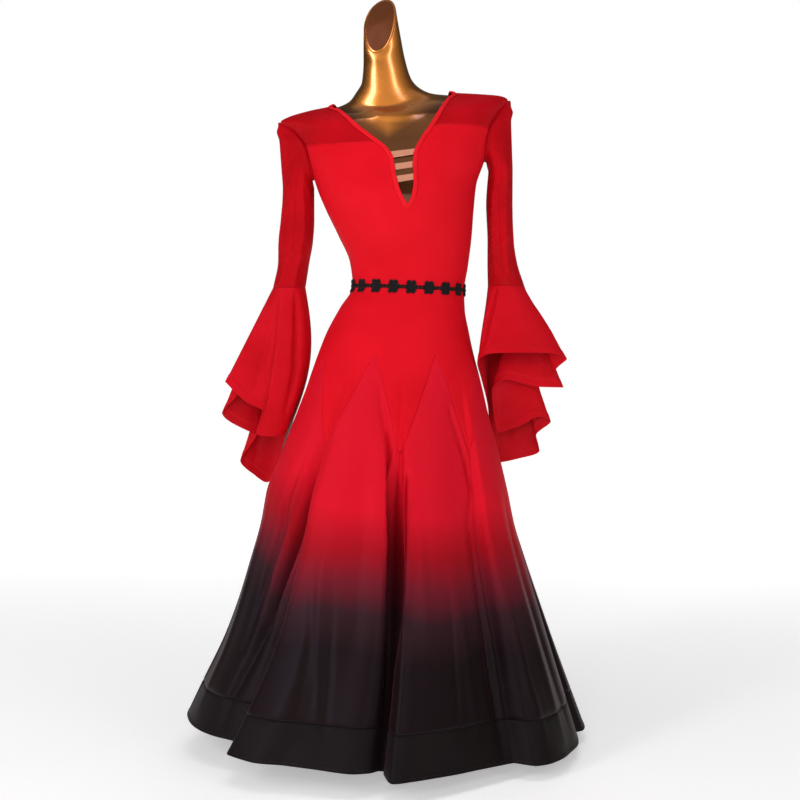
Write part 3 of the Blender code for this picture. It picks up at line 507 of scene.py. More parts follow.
# the shader's constants, the colour's scale and its two ends, and the bump's scale, strength and height
cordLooks = {
    "blackCord": (
        (0.8, 0.12, (0.03, 0.5, (1, 1, 1))), 500.0, (0.006, 0.0050, 0.0055), (0.013, 0.0110, 0.0115),
        (1800.0, 0.6, 0.3)),
    "blackThread": ((0.5,), 900.0, (0.00675, 0.00525, 0.006), (0.009, 0.007, 0.008), (2500.0, 0.4, 0.1)),
    "redThread": ((0.5,), 900.0, (0.585, 0.015, 0.0225), (0.78, 0.02, 0.03), (2500.0, 0.4, 0.1))}


def cordFinish(name):
    # a cloud of two colours over a coarse grain
    constants, scale, low, high, (grain, strength, height) = cordLooks[name]
    material, tree = newFinish(name, *constants)
    feed(tree, "Base Color", between(tree, noise(tree, scale), low, high))
    grainBump(tree, noise(tree, grain), strength, height)
    return material


def elasticFinish():
    # ribs run across the strap: a wave along it
    material, tree = newFinish("tanElastic", 0.6)
    ribs = wave(tree, clothPlace(tree)[1], 1.0)
    tone = times(tree, plus(tree, ribs, 1.0), 0.5)
    feed(tree, "Base Color", ramp(tree, tone, ((0.2, (0.46, 0.17, 0.10)), (0.8, (0.66, 0.29, 0.18)))))
    grainBump(tree, plus(tree, ribs, noise(tree, 1500.0)), 0.4, 0.3)
    return material


goldLooks = {
    "goldLacquer": {
        "roughness": 0.26, "coat": 0.6, "low": (0.64, 0.235, 0.045), "high": (0.74, 0.285, 0.058),
        # shaded and fade: the painted shade's dark brown and the two levels it fades in between
        "shaded": (0.120, 0.037, 0.011), "fade": (1.200, 1.155)},
    "brownCap": {"roughness": 0.55, "coat": 0.15, "low": (0.145, 0.042, 0.014), "high": (0.175, 0.052, 0.017)}}


def goldFinish(name):
    # a clear coat over metal paint: the coat's streaks are white and the paint's are brown
    look = goldLooks[name]
    material, tree = newFinish(name, look["roughness"], metallic=1.0, coat=look["coat"])
    sockets = tree.nodes["Principled BSDF"].inputs
    sockets["Coat IOR"].default_value, sockets["Coat Roughness"].default_value = 1.6, 0.06
    shade = between(tree, noise(tree, 5.0), look["low"], look["high"])
    if "fade" in look:
        # painted shade: from the foot of the neck down, and sooner away from its middle, the colour turns to a dark
        # brown that stands for the chest's dark reflection
        x, _, z = partsOf(tree, objectPlace(tree))
        beside = maths(tree, "ABSOLUTE", plus(tree, x, 0.011))
        paintedChestShade = slopeBetween(tree, minus(tree, z, times(tree, beside, 0.7)), *look["fade"])
        shade = mixColour(tree, paintedChestShade, shade, look["shaded"])
    feed(tree, "Base Color", shade)
    low, high = ((look["roughness"] * part,) * 3 for part in (0.92, 1.08))
    feed(tree, "Roughness", between(tree, noise(tree, 40.0), low, high))
    grainBump(tree, noise(tree, 60.0, 1.0), 0.012, 0.1)
    return material


def steelFinish():
    # brushed in rings: noise squeezed in height
    material, tree = newFinish("brushedSteel", 0.35, metallic=1.0)
    rings = noise(tree, 60.0, 2.0, (1.0, 1.0, 30.0))
    feed(tree, "Base Color", between(tree, rings, (0.42, 0.42, 0.43), (0.52, 0.52, 0.53)))
    feed(tree, "Roughness", between(tree, rings, (0.28,) * 3, (0.44,) * 3))
    grainBump(tree, rings, 0.1, 0.3)
    return material


crepe, binding = crepeFinish("redCrepe"), crepeFinish("redBinding")
net = netFinish()
dipped, flounceRed, bandBlack = (georgetteFinish(name) for name in georgetteLooks)
lace, blackThread, redThread = (cordFinish(name) for name in cordLooks)
elastic = elasticFinish()
gold, capBrown = (goldFinish(name) for name in goldLooks)
steel = steelFinish()
print("finishes made")

# ---- edges of the cut pieces
neckTable = {
    -1: ((25, 1033), (9, 1064), (1, 1094), (-3, 1121), (-13, 1140), (-36, 1160), (-63, 1182), (-88, 1205),
         (-104, 1220)),
    1: ((25, 1033), (35, 1052), (39, 1081), (38, 1112), (40, 1133), (45, 1147), (71, 1190), (90, 1221), (104, 1243))}
chestAtNeck = {-1: 1161, 1: 1183}


def neckCurve(side):
    # the table's places joined in the front view, then on round to the shoulder seam
    places = np.array(neckTable[side], float)
    walked = walkedAlong(places)
    angle, level = onFront(readCurve(walked, places, np.linspace(0, walked[-1], 90)))
    share = np.linspace(0, 1, 14)[1:]
    return (np.concatenate([angle, angle[-1] + (side * 90 - angle[-1]) * share]),
            np.concatenate([level, level[-1] + (heights["neckPoint"] - level[-1]) * share]))


neckCurves = {side: neckCurve(side) for side in neckTable}


def neckEdge(side, level):
    # the neckline's angle at a level
    angles, levels = neckCurves[side]
    return np.interp(level, levels, angles)


plungeAngle = float(neckEdge(-1, heights["plunge"]))


def armholeAngle(level, side, half):
    # half an ellipse in angle, between the underarm and the shoulder tip
    middle = (heights["underarm"] + heights["shoulderTip"]) / 2
    reach = (heights["shoulderTip"] - heights["underarm"]) / 2
    opening = np.sqrt(np.clip(1 - ((np.asarray(level, float) - middle) / reach) ** 2, 0, 1))
    return side * (90 - half * opening)


def outerEdge(level, side, half, turn=0):
    # the side seam leans with the hips below the underarm, and the armhole is above it
    seam = side * 90 + turnedHips * shareBetween(level, "underarm", "hip")
    return np.where(level <= heights["underarm"], seam, armholeAngle(level, side, half)) + turn


def frontEdge(level, side):
    # from the turned hips to the foot of the plunge, then the neckline
    below = turnedHips + (plungeAngle - turnedHips) * shareBetween(level, "hip", "plunge")
    return np.where(level <= heights["plunge"], below, neckEdge(side, np.maximum(level, heights["plunge"])))


def centreBack(level):
    # straight up the back of the turned hips
    return np.full(np.shape(level), 180 + turnedHips)


def vLevel(part):
    # the edge of a V, from its apex at 0 down to its point at 1
    return heights["apex"] - (heights["apex"] - heights["vPoint"]) * part**1.25


def seamPlaces(count, inner=0.93):
    # from -1 to 1, closer towards the seams, with three very close columns at each
    even = np.linspace(-inner, inner, count)
    even = 0.7 * even + 0.3 * inner * np.sin(even / inner * math.pi / 2)
    return np.concatenate([[-1, -0.992, -0.978, -0.957], even, [0.957, 0.978, 0.992, 1]])


def seamDip(grid, sides, kind):
    # a groove along the named sides of a grid: a bell of the distance walked from that side
    depth, width = seamGrooves[kind]
    uv = arcUv(grid) / mm
    across = uv[..., 0] - uv[:, :1, 0]
    gaps = {"left": across, "right": across[:, -1:] - across, "bottom": uv[..., 1],
            "top": uv[-1:, :, 1] - uv[..., 1]}
    return -depth * np.exp(-(np.min([gaps[side] for side in sides], axis=0) / width) ** 2)


# ---- bodice
bodiceCut = {
    "columns": 96, "rowsAtFoot": 26, "rowsUp": 76, "rowsAtArmhole": 24, "flat": (0.41, 0.65),
    "areas": {"bodiceFront": 0.20, "bodiceBack": 0.205}}
# soft drag lines of the stretched crepe: width, depth, then places as angle and level
bodiceCreases = (
    (9, -1.6, (-62, 1098), (-48, 1082), (-34, 1060)), (10, -1.3, (-66, 1080), (-52, 1050), (-38, 1026)),
    (9, -1.4, (60, 1112), (38, 1070)), (7, -0.8, (-40, 905), (-10, 899)), (8, -0.8, (30, 868), (58, 874)),
    (8, -1.0, (-70, 930), (-40, 915)), (8, -0.9, (66, 935), (40, 920)), (16, -0.8, (-30, 830), (8, 822)),
    (9, -1.3, (150, 900), (200, 905)), (10, -1.2, (140, 930), (180, 925)), (10, -1.3, (120, 1090), (150, 1040)),
    (10, -1.3, (240, 1080), (212, 1040)), (9, -1.0, (130, 870), (175, 862)), (9, -1.0, (225, 880), (190, 868)),
    (12, 0.8, (20, 1020), (34, 1090)))
# the pleats at the front of the skirt: side, reach, depth, then angle and level from the top
skirtPleats = (
    (1, 20, -33, (-3.5, 640), (0.2, 520), (0.8, 430), (0.7, 345), (0.4, 270), (0, 190)),
    (1, 15, -14, (8.0, 556), (8.0, 530), (8.0, 492), (7.5, 442), (6.5, 390), (6.0, 324), (5.5, 210)),
    (-1, 22, -36, (-37, 660), (-38.3, 545), (-38.8, 486), (-41.7, 430), (-44.7, 376), (-47.7, 318), (-50.4, 262),
     (-53.4, 170)))
# the soft folds between them and round the back, and one on each seam: width, depth, then angle and level
skirtCreases = (
    (9, -9, (-8.4, 698), (-6.4, 664), (-2.8, 622), (0.4, 580), (1.6, 540)),
    (12, -8, (-50, 300), (-54, 204), (-57.5, 120), (-58, 60)),
    (9, -12, (-51, 560), (-54, 482), (-54.5, 428), (-57, 370), (-58, 314), (-60, 200)),
    (7, -4, (-29.5, 380), (-26, 248), (-26, 110)), (7, 5, (-25.5, 385), (-22.5, 232), (-19.5, 104)),
    (7, -5, (-21, 372), (-19.5, 232), (-17, 92)), (14, 4, (-4, 600), (-3.5, 500), (-3, 400)),
    (8, -9, (0.8, 380), (0.5, 250), (0, 150), (-0.3, 20)), (13, -2.6, (-12, 560), (-11, 400), (-11, 240)),
    (12, 2.4, (12, 600), (13, 420), (13, 250)), (6, -4, (24.5, 340), (23, 222), (22, 96)),
    (9, 4, (28.5, 320), (28.5, 182), (29, 90)), (5, -15, (37, 650), (44, 560), (46, 510), (43, 440)),
    (14, -17, (44, 470), (43.5, 378), (42, 276), (40, 176), (39, 60)), (10, 4, (51, 320), (49, 174), (50, 80)),
    (13, 4.5, (62, 500), (60, 300), (60, 70)), (11, -5, (70, 480), (68, 280), (67, 70)),
    (12, 4, (-70, 500), (-72, 300), (-73, 80)), (12, -5, (-80, 480), (-82, 280), (-82, 70)),
    (14, -5, (108, 540), (106, 300), (104, 60)), (13, 4.5, (124, 480), (120, 260), (118, 60)),
    (12, 4.5, (150, 560), (148, 300), (146, 60)), (14, -5, (162, 520), (161, 300), (160, 60)),
    (13, 4.5, (200, 560), (198, 300), (196, 60)), (13, -5, (214, 500), (213, 280), (212, 60)),
    (14, 4.5, (244, 520), (242, 300), (240, 60)), (12, -4.5, (256, 480), (255, 280), (254, 60)),
    *((10, -4, (start, 545), (start + (hemStart - start) * 0.94, 45)) for start, hemStart, _ in goreSeams))


def bodiceBlock(gores, edgeA, edgeB, stretchA=1.0, stretchB=1.0):
    # rows run from the V's below, through level rows, up to the chest seam; columns share out each row evenly
    part = np.linspace(0, 1, bodiceCut["columns"] // 4 + 1)
    places = np.concatenate([part[:-1] - 1, part])
    foot = vLevel(np.abs(places))
    first, second = (goreAngle(gore, places, foot) for gore in gores)
    footAngle = np.concatenate([first, second[1:]])
    foot = np.concatenate([foot, foot[1:]])
    share = np.linspace(0, 1, len(foot))
    hip, underarm = float(heights["hip"]), heights["underarm"]
    above = edgeA(np.array([hip])) * (1 - share) + edgeB(np.array([hip])) * share
    footAngle += round((above[0] - footAngle[0]) / 360) * 360
    rise = np.linspace(0, 1, bodiceCut["rowsAtFoot"])[:-1, None]
    up = np.linspace(hip, underarm, bodiceCut["rowsUp"])[:-1]
    atArm = (heights["chestSeam"] - underarm) * np.linspace(0, 1, bodiceCut["rowsAtArmhole"]) ** 1.8
    levelA, levelB = (np.concatenate([up, underarm + atArm * stretch]) for stretch in (stretchA, stretchB))
    angle = edgeA(levelA)[:, None] * (1 - share) + edgeB(levelB)[:, None] * share
    level = levelA[:, None] * (1 - share) + levelB[:, None] * share
    return (np.concatenate([footAngle + (above - footAngle) * rise, angle]),
            np.concatenate([foot + (hip - foot) * rise, level]))


def addBodice(name, node, *blocks):
    # two blocks that meet in the middle, with grooves at the side seam, the chest seam and the V's
    grids = []
    for (angle, level), outer in zip(blocks, ("left", "right")):
        grid = clothFace(angle, level)
        relief = softCreases(grid, bodiceCreases + skirtCreases) + pleats(grid)
        grids.append(raised(angle, level, relief + seamDip(grid, (outer, "top", "bottom"), "crepe")))
    addPiece(name, grids, [crepe], "red_crepe", node, (cloth["crepe"], 1), bodiceCut["flat"], "stretched",
             bodiceCut["areas"][name])


def neckStretch(side):
    # the chest seam meets the neckline lower or higher than the armhole: its height there over the armhole's
    return (chestAtNeck[side] - heights["underarm"]) / (heights["chestSeam"] - heights["underarm"])


addBodice("bodiceFront", "bodice_front",
          bodiceBlock((6, 7), lambda level: outerEdge(level, -1, armholeHalf), lambda level: frontEdge(level, -1),
                      stretchB=neckStretch(-1)),
          bodiceBlock((0, 1), lambda level: frontEdge(level, 1), lambda level: outerEdge(level, 1, armholeHalf),
                      stretchA=neckStretch(1)))
addBodice("bodiceBack", "bodice_back",
          bodiceBlock((2, 3), lambda level: outerEdge(level, 1, -armholeHalf), centreBack),
          bodiceBlock((4, 5), centreBack, lambda level: outerEdge(level, -1, -armholeHalf, 360)))
print("bodice made")

# ---- yokes
# by side, 0 for the back: the flat width and length, and the whole cut
yokeCut = {"rows": 56, "columns": 64, -1: ((0.16, 0.16), 0.0141), 1: ((0.14, 0.13), 0.0125), 0: ((0.46, 0.21), 0.0394)}


def patch(bottom, top, left, right):
    # a Coons patch in angle and level between four edges
    across = np.linspace(0, 1, len(bottom))[None, :, None]
    upward = np.linspace(0, 1, len(left))[:, None, None]
    ruled = bottom[None] * (1 - upward) + top[None] * upward + left[:, None] * (1 - across) + right[:, None] * across
    corners = (bottom[0] * (1 - across) + bottom[-1] * across) * (1 - upward)
    corners = corners + (top[0] * (1 - across) + top[-1] * across) * upward
    return np.moveaxis(ruled - corners, -1, 0)


def armholeTop(side, half):
    # the armhole from the chest seam up to the shoulder tip
    share = np.sin(np.linspace(0, math.pi / 2, yokeCut["rows"]))
    level = heights["chestSeam"] + (heights["shoulderTip"] - heights["chestSeam"]) * share
    return np.stack([armholeAngle(level, side, half), level], -1)


def neckTop(side):
    # the neckline from the chest seam up to the neck point, in even steps along it
    level = neckCurves[side][1]
    level = np.concatenate([[chestAtNeck[side]], level[level > chestAtNeck[side] + 0.5]])
    angle = neckEdge(side, level)
    walked = walkedAlong(clothFace(angle, level))
    return readLinear(walked, np.stack([angle, level], -1), np.linspace(0, walked[-1], yokeCut["rows"]))


def backNeck(share):
    # a shallow scoop between the neck points
    return np.stack([90 + 180 * share, heights["neckPoint"] - 9 * np.sin(math.pi * share) ** 2], -1)


def addYoke(name, node, block, sides, cut):
    # the patch on the cloth's surface, with a groove along the sides that are sewn
    relief = seamDip(clothFace(*block), sides, "mesh")
    addPiece(name, [raised(*block, relief)], [net], "red_mesh", node, (cloth["mesh"], 1), cut[0], "stretched", cut[1])


for side, name in sideNames.items():
    neck, arm = neckTop(side), armholeTop(side, armholeHalf)
    bottom, top = (np.linspace(neck[end], arm[end], yokeCut["columns"]) for end in (0, -1))
    block = patch(bottom, top, neck, arm) if side > 0 else patch(bottom[::-1], top[::-1], arm, neck)
    addYoke("yoke" + name, "yoke_" + name.lower(), block, ("bottom", "top"), yokeCut[side])
rightArm, leftArm = armholeTop(1, -armholeHalf), armholeTop(-1, -armholeHalf) + (360, 0)
half = yokeCut["columns"]
middle = (180 + turnedHips, heights["chestSeam"])
bottom = np.concatenate([np.linspace(rightArm[0], middle, half), np.linspace(middle, leftArm[0], half)[1:]])
shoulder = (2 * half - 2) // 4
top = np.concatenate([np.linspace(rightArm[-1], (90, heights["neckPoint"]), shoulder + 1)[:-1],
                      backNeck(np.linspace(0, 1, 2 * half - 1 - 2 * shoulder)),
                      np.linspace((270, heights["neckPoint"]), leftArm[-1], shoulder + 1)[1:]])
addYoke("yokeBack", "yoke_back", patch(bottom, top, rightArm, leftArm), ("bottom",), yokeCut[0])
print("yokes made")

# ---- skirt
# sizes: each gore's widest width, its length and its whole cut
# the painted shade in the pleats: the depth of a pleat that is darkened fully, the level where the shade starts and
# the way down to its full strength
goreCut = {
    "columns": 54, "rowsInTop": 40, "rowsBelow": 84, "pleatShade": (30, 550, 70),
    "sizes": {
        "FrontRight": (0.33, 0.72, 0.145), "Right": (0.30, 0.70, 0.133), "RightBack": (0.29, 0.70, 0.125),
        "BackRight": (0.35, 0.70, 0.143), "BackLeft": (0.35, 0.70, 0.139), "LeftBack": (0.26, 0.69, 0.116),
        "Left": (0.30, 0.70, 0.130), "FrontLeft": (0.36, 0.72, 0.165)}}


def goreGrid(index):
    # rows narrow to the gore's top between the V's, then run its full width to the band
    part = np.linspace(0.02, 1, goreCut["rowsInTop"])
    below = np.linspace(heights["vPoint"], heights["bandTop"], goreCut["rowsBelow"])[1:]
    levels = np.concatenate([vLevel(part), below])[::-1]
    widths = np.concatenate([part, np.ones(len(below))])[::-1]
    places = seamPlaces(goreCut["columns"])
    level = np.repeat(levels[:, None], len(places), axis=1)
    return goreAngle(index, places * widths[:, None], level), level


for index, (name, (wide, long, area)) in enumerate(goreCut["sizes"].items()):
    angle, level = goreGrid(index)
    grid = clothFace(angle, level)
    hollow = pleats(grid)
    relief = softCreases(grid, skirtCreases) + hollow + seamDip(grid, ("left", "right", "bottom"), "georgette")
    # how far into a pleat each point lies, for the painted shade that darkens the colour there
    deepest, start, way = goreCut["pleatShade"]
    folded = np.clip(-hollow / deepest, 0, 1) * np.clip((start - level) / way, 0, 1)
    addPiece("gore" + name, [raised(angle, level, relief)], [dipped], "dipped_georgette", f"gore_{index + 1}",
             (cloth["georgette"], 1), (wide, long), "hung", area, ("bodiceFront",), folded)

bandCut = {
    "foot": (40, 40.6, 42, 44.4, 45.6), "rows": (48, 106, 22), "top": (108, 109.2, 110), "turned": 5.0,
    "flat": ((0.67, 0.080), (0.70, 0.080), (0.66, 0.078), (0.69, 0.080))}
bandGrids = []
up = np.concatenate([bandCut["foot"], np.linspace(*bandCut["rows"]), bandCut["top"]])
places = seamPlaces(goreCut["columns"])
for part in range(4):
    angle = np.concatenate([goreAngle(2 * part, places[:-1], up[:, None]),
                            goreAngle(2 * part + 1, places, up[:, None])], axis=1)
    level = np.repeat(up[:, None], angle.shape[1], axis=1)
    grid = clothFace(angle, level)
    relief = softCreases(grid, skirtCreases) + seamDip(grid, ("left", "right", "top"), "georgette")
    # the narrow turned hem is twice as thick
    relief += 0.45 / (1 + np.exp((arcUv(grid)[..., 1] / mm - bandCut["turned"]) / 0.4))
    bandGrids.append((angle, level))
    addPiece(f"hemBand{part + 1}", [raised(angle, level, relief)], [bandBlack], "black_georgette",
             f"hem_band_{part + 1}", (cloth["georgette"], 1), bandCut["flat"][part], "hung", None, ("goreFrontLeft",))
print("skirt made")

# ---- sleeves
# armLevels: the armhole's level at places 1 to 4; inset, stand: how far the sleeve's head lies in and out from it
sleeveCut = {
    "columns": 112, "rows": 104, "armLevels": (1118, 1134, 1152, 1170), "inset": 1.3, "stand": (0.6, 6),
    -1: ((0.25, 0.34), "stretched", 0.064), 1: ((0.24, 0.37), "stretched", 0.070)}
# each ring of a sleeve, down to the elbow: x, y, z, half width and half depth
sleeveRings = {
    -1: ((-186, 10, 1080, 30, 41), (-188, 12, 1020, 32, 40), (-192, 14, 976, 33, 39), (-196, 16, 937, 30, 38),
         (-205, 18, 887, 31, 37)),
    1: ((207, 8, 1112, 23, 45), (205, 10, 1050, 25, 44), (208, 12, 976, 25, 43), (211, 14, 937, 28, 40),
        (219, 16, 890, 35, 36))}


def armholeLoop(side, place):
    # place runs 0 to 16 from the underarm up the front to the shoulder tip at 8 and down the back
    up = np.where(place <= 8, place, 16 - place)
    low = heights["underarm"] + 10 * up**2
    table = np.array(sleeveCut["armLevels"], float)[:, None]
    middle = readCurve(np.arange(1.0, 5), table, np.clip(up, 1, 4))[:, 0]
    rise = heights["shoulderTip"] - heights["chestSeam"]
    high = heights["chestSeam"] + rise * np.sin(np.clip(up - 4, 0, 4) / 4 * math.pi / 2)
    level = np.where(up < 1, low, np.where(up < 4, middle, high))
    angle = armholeAngle(level, side, np.where(place <= 8, armholeHalf, -armholeHalf))
    return clothFace(angle, level), faceNormals(angle, level)


def meshNormals(grid):
    # the cross product of the steps round and up, on a grid that repeats its first column
    around = np.concatenate([grid[:, -2:-1], grid, grid[:, 1:2]], axis=1)
    return unit(np.cross(around[:, 2:] - around[:, :-2], np.gradient(grid, axis=0)))


def gridCreases(grid, creases):
    # the bells of creases whose places are shares of a grid's columns and rows
    rows, columns = grid.shape[:2]
    relief = np.zeros((rows, columns))
    for width, depth, *places in creases:
        across, upward = alongPlaces(places, 40)
        row = (upward * (rows - 1)).round().astype(int)
        column = (across * (columns - 1)).round().astype(int) % (columns - 1)
        relief += bellAlong(grid, grid[row, column], width, depth)
    return relief


# width, depth, then shares of the way round (0 inside the arm, 0.25 in front, 0.5 outside) and up from the elbow
sleeveCreases = {
    -1: (
        (3.6, -6.0, (0.335, 0.03), (0.34, 0.4), (0.32, 0.8)), (4, 3.4, (0.26, 0.04), (0.25, 0.4), (0.25, 0.72)),
        (3.8, -5.2, (0.19, 0.02), (0.17, 0.35), (0.19, 0.66)), (5, -2.6, (0.43, 0.1), (0.41, 0.7)),
        (6, -2.2, (0.06, 0.5), (0.28, 0.86)), (7, -4.0, (0.38, 0.9), (0.5, 0.905), (0.62, 0.9)),
        (5, -2.0, (0.1, 0.16), (0.36, 0.26)), (6, -3.0, (0.62, 0.06), (0.64, 0.72)),
        (6, -3.0, (0.80, 0.08), (0.78, 0.62)), (6, 2.2, (0.71, 0.1), (0.71, 0.6))),
    1: (
        (3.6, -6.0, (0.15, 0.03), (0.145, 0.3), (0.16, 0.62)), (4, 3.6, (0.215, 0.02), (0.22, 0.4), (0.22, 0.78)),
        (3.6, -5.4, (0.29, 0.03), (0.31, 0.4), (0.32, 0.72)), (5, -2.6, (0.40, 0.06), (0.41, 0.6)),
        (6, -2.2, (0.06, 0.55), (0.26, 0.88)), (7, -4.0, (0.38, 0.9), (0.5, 0.905), (0.62, 0.9)),
        (5, -2.0, (0.12, 0.2), (0.38, 0.28)), (6, -3.0, (0.60, 0.06), (0.62, 0.72)),
        (6, -3.0, (0.80, 0.08), (0.82, 0.62)), (6, 2.2, (0.70, 0.1), (0.71, 0.6)))}


def sleeveGrid(side):
    # the armhole's edge, a turned edge and the rings below it, with cubic rows between
    place = np.linspace(0, 16, sleeveCut["columns"] + 1)
    edge, normal = armholeLoop(side, place)
    into = edge[:-1].mean(axis=0) - edge
    into = unit(into - normal * np.sum(into * normal, axis=1, keepdims=True))
    start, turned = (edge + into * sleeveCut["inset"] + normal * stand for stand in sleeveCut["stand"])
    around = math.pi + place * math.pi / 8
    rings = [np.stack([x + side * wide * np.cos(around), y + deep * np.sin(around), z + 0 * around], -1)
             for x, y, z, wide, deep in sleeveRings[side]]
    stack = np.array([start, turned, *(turned + (rings[0] - turned) * s for s in (0.35, 0.7)), *rings])
    grid = rowsThrough(stack, np.linspace(0, 1, sleeveCut["rows"]) ** 1.15)[::-1]
    return grid if side < 0 else grid[:, ::-1]


for side, name in sideNames.items():
    grid = sleeveGrid(side)
    lines = sleeveCreases[side]
    if side > 0:
        lines = [(width, depth, *((1 - share, up) for share, up in places)) for width, depth, *places in lines]
    row = np.arange(len(grid))
    relief = gridCreases(grid, lines) * np.minimum(1, np.minimum(row, row[::-1]) / 8)[:, None]
    addPiece("sleeve" + name, [grid + meshNormals(grid) * relief[..., None]], [net], "red_mesh",
             "sleeve_" + name.lower(), (cloth["mesh"], 0), *sleeveCut[side], ("yokeBack",))
print("sleeves made")

# ---- flounces
# hem by its angle on the sleeve's seam: place out from the seam's centre, y, and drop below it
flounceHems = {
    -1: (
        (-140, 5, -28, 282), (-105, 29, -50, 288), (-78, 58, -56, 282), (-58, 46, -37, 243), (-38, 81, -31, 222),
        (-14, 121, -18, 184), (-2, 100, -5, 208), (12, 131, 12, 247), (28, 84, 27, 281), (42, 66, 38, 290),
        (54, 86, 49, 320), (70, 101, 62, 345), (86, 76, 74, 372), (104, 52, 80, 388), (130, 28, 68, 362),
        (158, 20, 36, 323), (190, 10, 2, 294)),
    1: (
        (-140, -58, -46, 148), (-118, -34, -62, 132), (-92, 24, -66, 130), (-52, 76, -56, 131), (-28, 112, -40, 143),
        (-12, 91, -25, 168), (0, 109, -10, 198), (9, 64, 0, 197), (17, 2, 3, 183), (28, -28, 14, 205),
        (42, -14, 26, 288), (52, 30, 27, 274), (60, 66, 31, 257), (68, 90, 42, 268), (77, 62, 52, 296),
        (87, 70, 64, 327), (104, 32, 72, 342), (124, -7, 74, 350), (146, -26, 56, 299), (166, -33, 26, 237),
        (192, -48, -14, 182))}
flounceBow = {-1: 30, 1: 5}
# close: the rows near the hem, by their way up from it
flounceCut = {
    "between": 12, "rows": 44, "turned": 18.0, "close": (0, 0.7, 2, 5, 9, 13, 16, 17.2, 18, 18.8, 20, 24, 30),
    -1: ((0.66, 0.40), "hung", 0.115), 1: ((0.76, 0.37), "hung", 0.108)}


def flounceGrid(side):
    # straight rulings from the seam's ellipse to the cascading hem, bowed in towards the hip on the inner side
    x, y, z, wide, deep = sleeveRings[side][-1]
    table = np.array(flounceHems[side], float)
    keys = table[:, 0]
    steps = np.linspace(0, 1, flounceCut["between"] + 1)[:-1]
    angles = (keys[:, None] + (np.append(keys[1:], keys[0] + 360) - keys)[:, None] * steps).ravel()
    angles = np.append(angles, keys[0] + 360)
    out, hemY, drop = readClosed(keys, table[:, 1:], np.append(angles[:-1], keys[0]), 360).T
    turn = np.radians(angles)
    top = np.stack([x + side * wide * np.cos(turn), y + deep * np.sin(turn), z - 0.15 + 0 * turn], -1)
    hem = np.stack([x + side * out, hemY, z - drop], -1)
    length = np.linalg.norm(hem - top, axis=1)
    close = np.array(flounceCut["close"], float)
    above = np.linspace(0, 1, flounceCut["rows"])[1:, None]
    fromHem = np.concatenate([np.repeat(close[:, None], len(turn), axis=1), close[-1] + (length - close[-1]) * above])
    share = 1 - fromHem / length
    grid = top + (hem - top) * share[..., None]
    inner = (1 - np.cos(turn)) / 2
    grid[..., 0] -= side * flounceBow[side] * inner**2 * np.sin(math.pi * share)
    return (grid, fromHem) if side > 0 else (grid[:, ::-1], fromHem[:, ::-1])


# width, depth, then shares of the way round and up from the hem
flounceCreases = {
    -1: (
        (8, 3, (0.30, 0.05), (0.32, 0.7)), (7, -3, (0.38, 0.05), (0.38, 0.75)), (8, 3, (0.62, 0.1), (0.62, 0.7)),
        (7, -6, (0.776, 0.15), (0.79, 0.8)), (7, -5, (0.894, 0.1), (0.86, 0.75)),
        (6, -10, (0.966, 0.25), (0.96, 0.95))),
    1: (
        (6, -10, (0.022, 0.2), (0.03, 0.95)), (8, 3, (0.20, 0.05), (0.20, 0.7)), (7, -3, (0.33, 0.05), (0.31, 0.75)),
        (8, -3, (0.62, 0.1), (0.62, 0.7)), (9, 3, (0.78, 0.1), (0.78, 0.7)))}
for side, name in sideNames.items():
    grid, fromHem = flounceGrid(side)
    # the turned hem stands up, with a stitched groove along it
    relief = 0.45 - 0.45 * np.tanh((fromHem - flounceCut["turned"]) / 0.7)
    relief -= 0.6 * np.exp(-((fromHem - flounceCut["turned"] + 1.0) / 1.1) ** 2)
    relief += gridCreases(grid, flounceCreases[side]) * np.clip(fromHem[::-1] / 60, 0, 1)[::-1]
    addPiece("flounce" + name, [grid + meshNormals(grid) * relief[..., None]], [flounceRed], "dipped_georgette",
             "flounce_" + name.lower(), (cloth["georgette"], 0), *flounceCut[side], ("sleeve" + name,))
print("flounces made")

# ---- neck binding
# the section of the strip folded over the edge: across from the cloth's edge, and lift above the crepe
bindingSection = np.array((
    (5.1, 1.1), (4.6, 1.6), (3.6, 2.0), (2.2, 2.5), (0.6, 2.7), (-1.0, 2.6), (-2.1, 2.1), (-2.7, 1.1), (-2.8, -0.3),
    (-2.3, -1.1), (-1.4, -1.2)))
bindingCut = {"flat": (0.98, 0.013), "wall": 1.0, "spacing": 1.6, "ripple": (0.14, 5.2)}


def neckPath():
    # up the right side of the plunge, round the back and down the left, walked in even steps and eased at the V
    sides = {}
    for side in sideNames:
        level = np.linspace(heights["plunge"], chestAtNeck[side], 160)
        sides[side] = np.concatenate([np.stack([neckEdge(side, level), level], -1), neckTop(side)[1:]])
    back = backNeck(np.linspace(0, 1, 160))
    angle, level = np.concatenate([sides[1], back[1:-1], sides[-1][::-1] + (360, 0)])[:-1].T
    both = np.concatenate([clothFace(angle, level), faceNormals(angle, level)], axis=1)
    both = np.concatenate([both, both[:1]])
    walked = walkedAlong(both[:, :3])
    x = np.linspace(0, walked[-1], int(walked[-1] / bindingCut["spacing"]) + 1)[:-1]
    even = readLinear(walked, both, x)
    for _ in range(3):
        even = (np.roll(even, 1, axis=0) + even * 2 + np.roll(even, -1, axis=0)) / 4
    return even[:, :3], unit(even[:, 3:]), x


neckPoints, neckNormals, neckWalk = neckPath()
ahead = unit(np.roll(neckPoints, -1, axis=0) - np.roll(neckPoints, 1, axis=0))
neckOver = unit(np.cross(ahead, neckNormals))
over, lift = bindingSection.T[:, :, None]
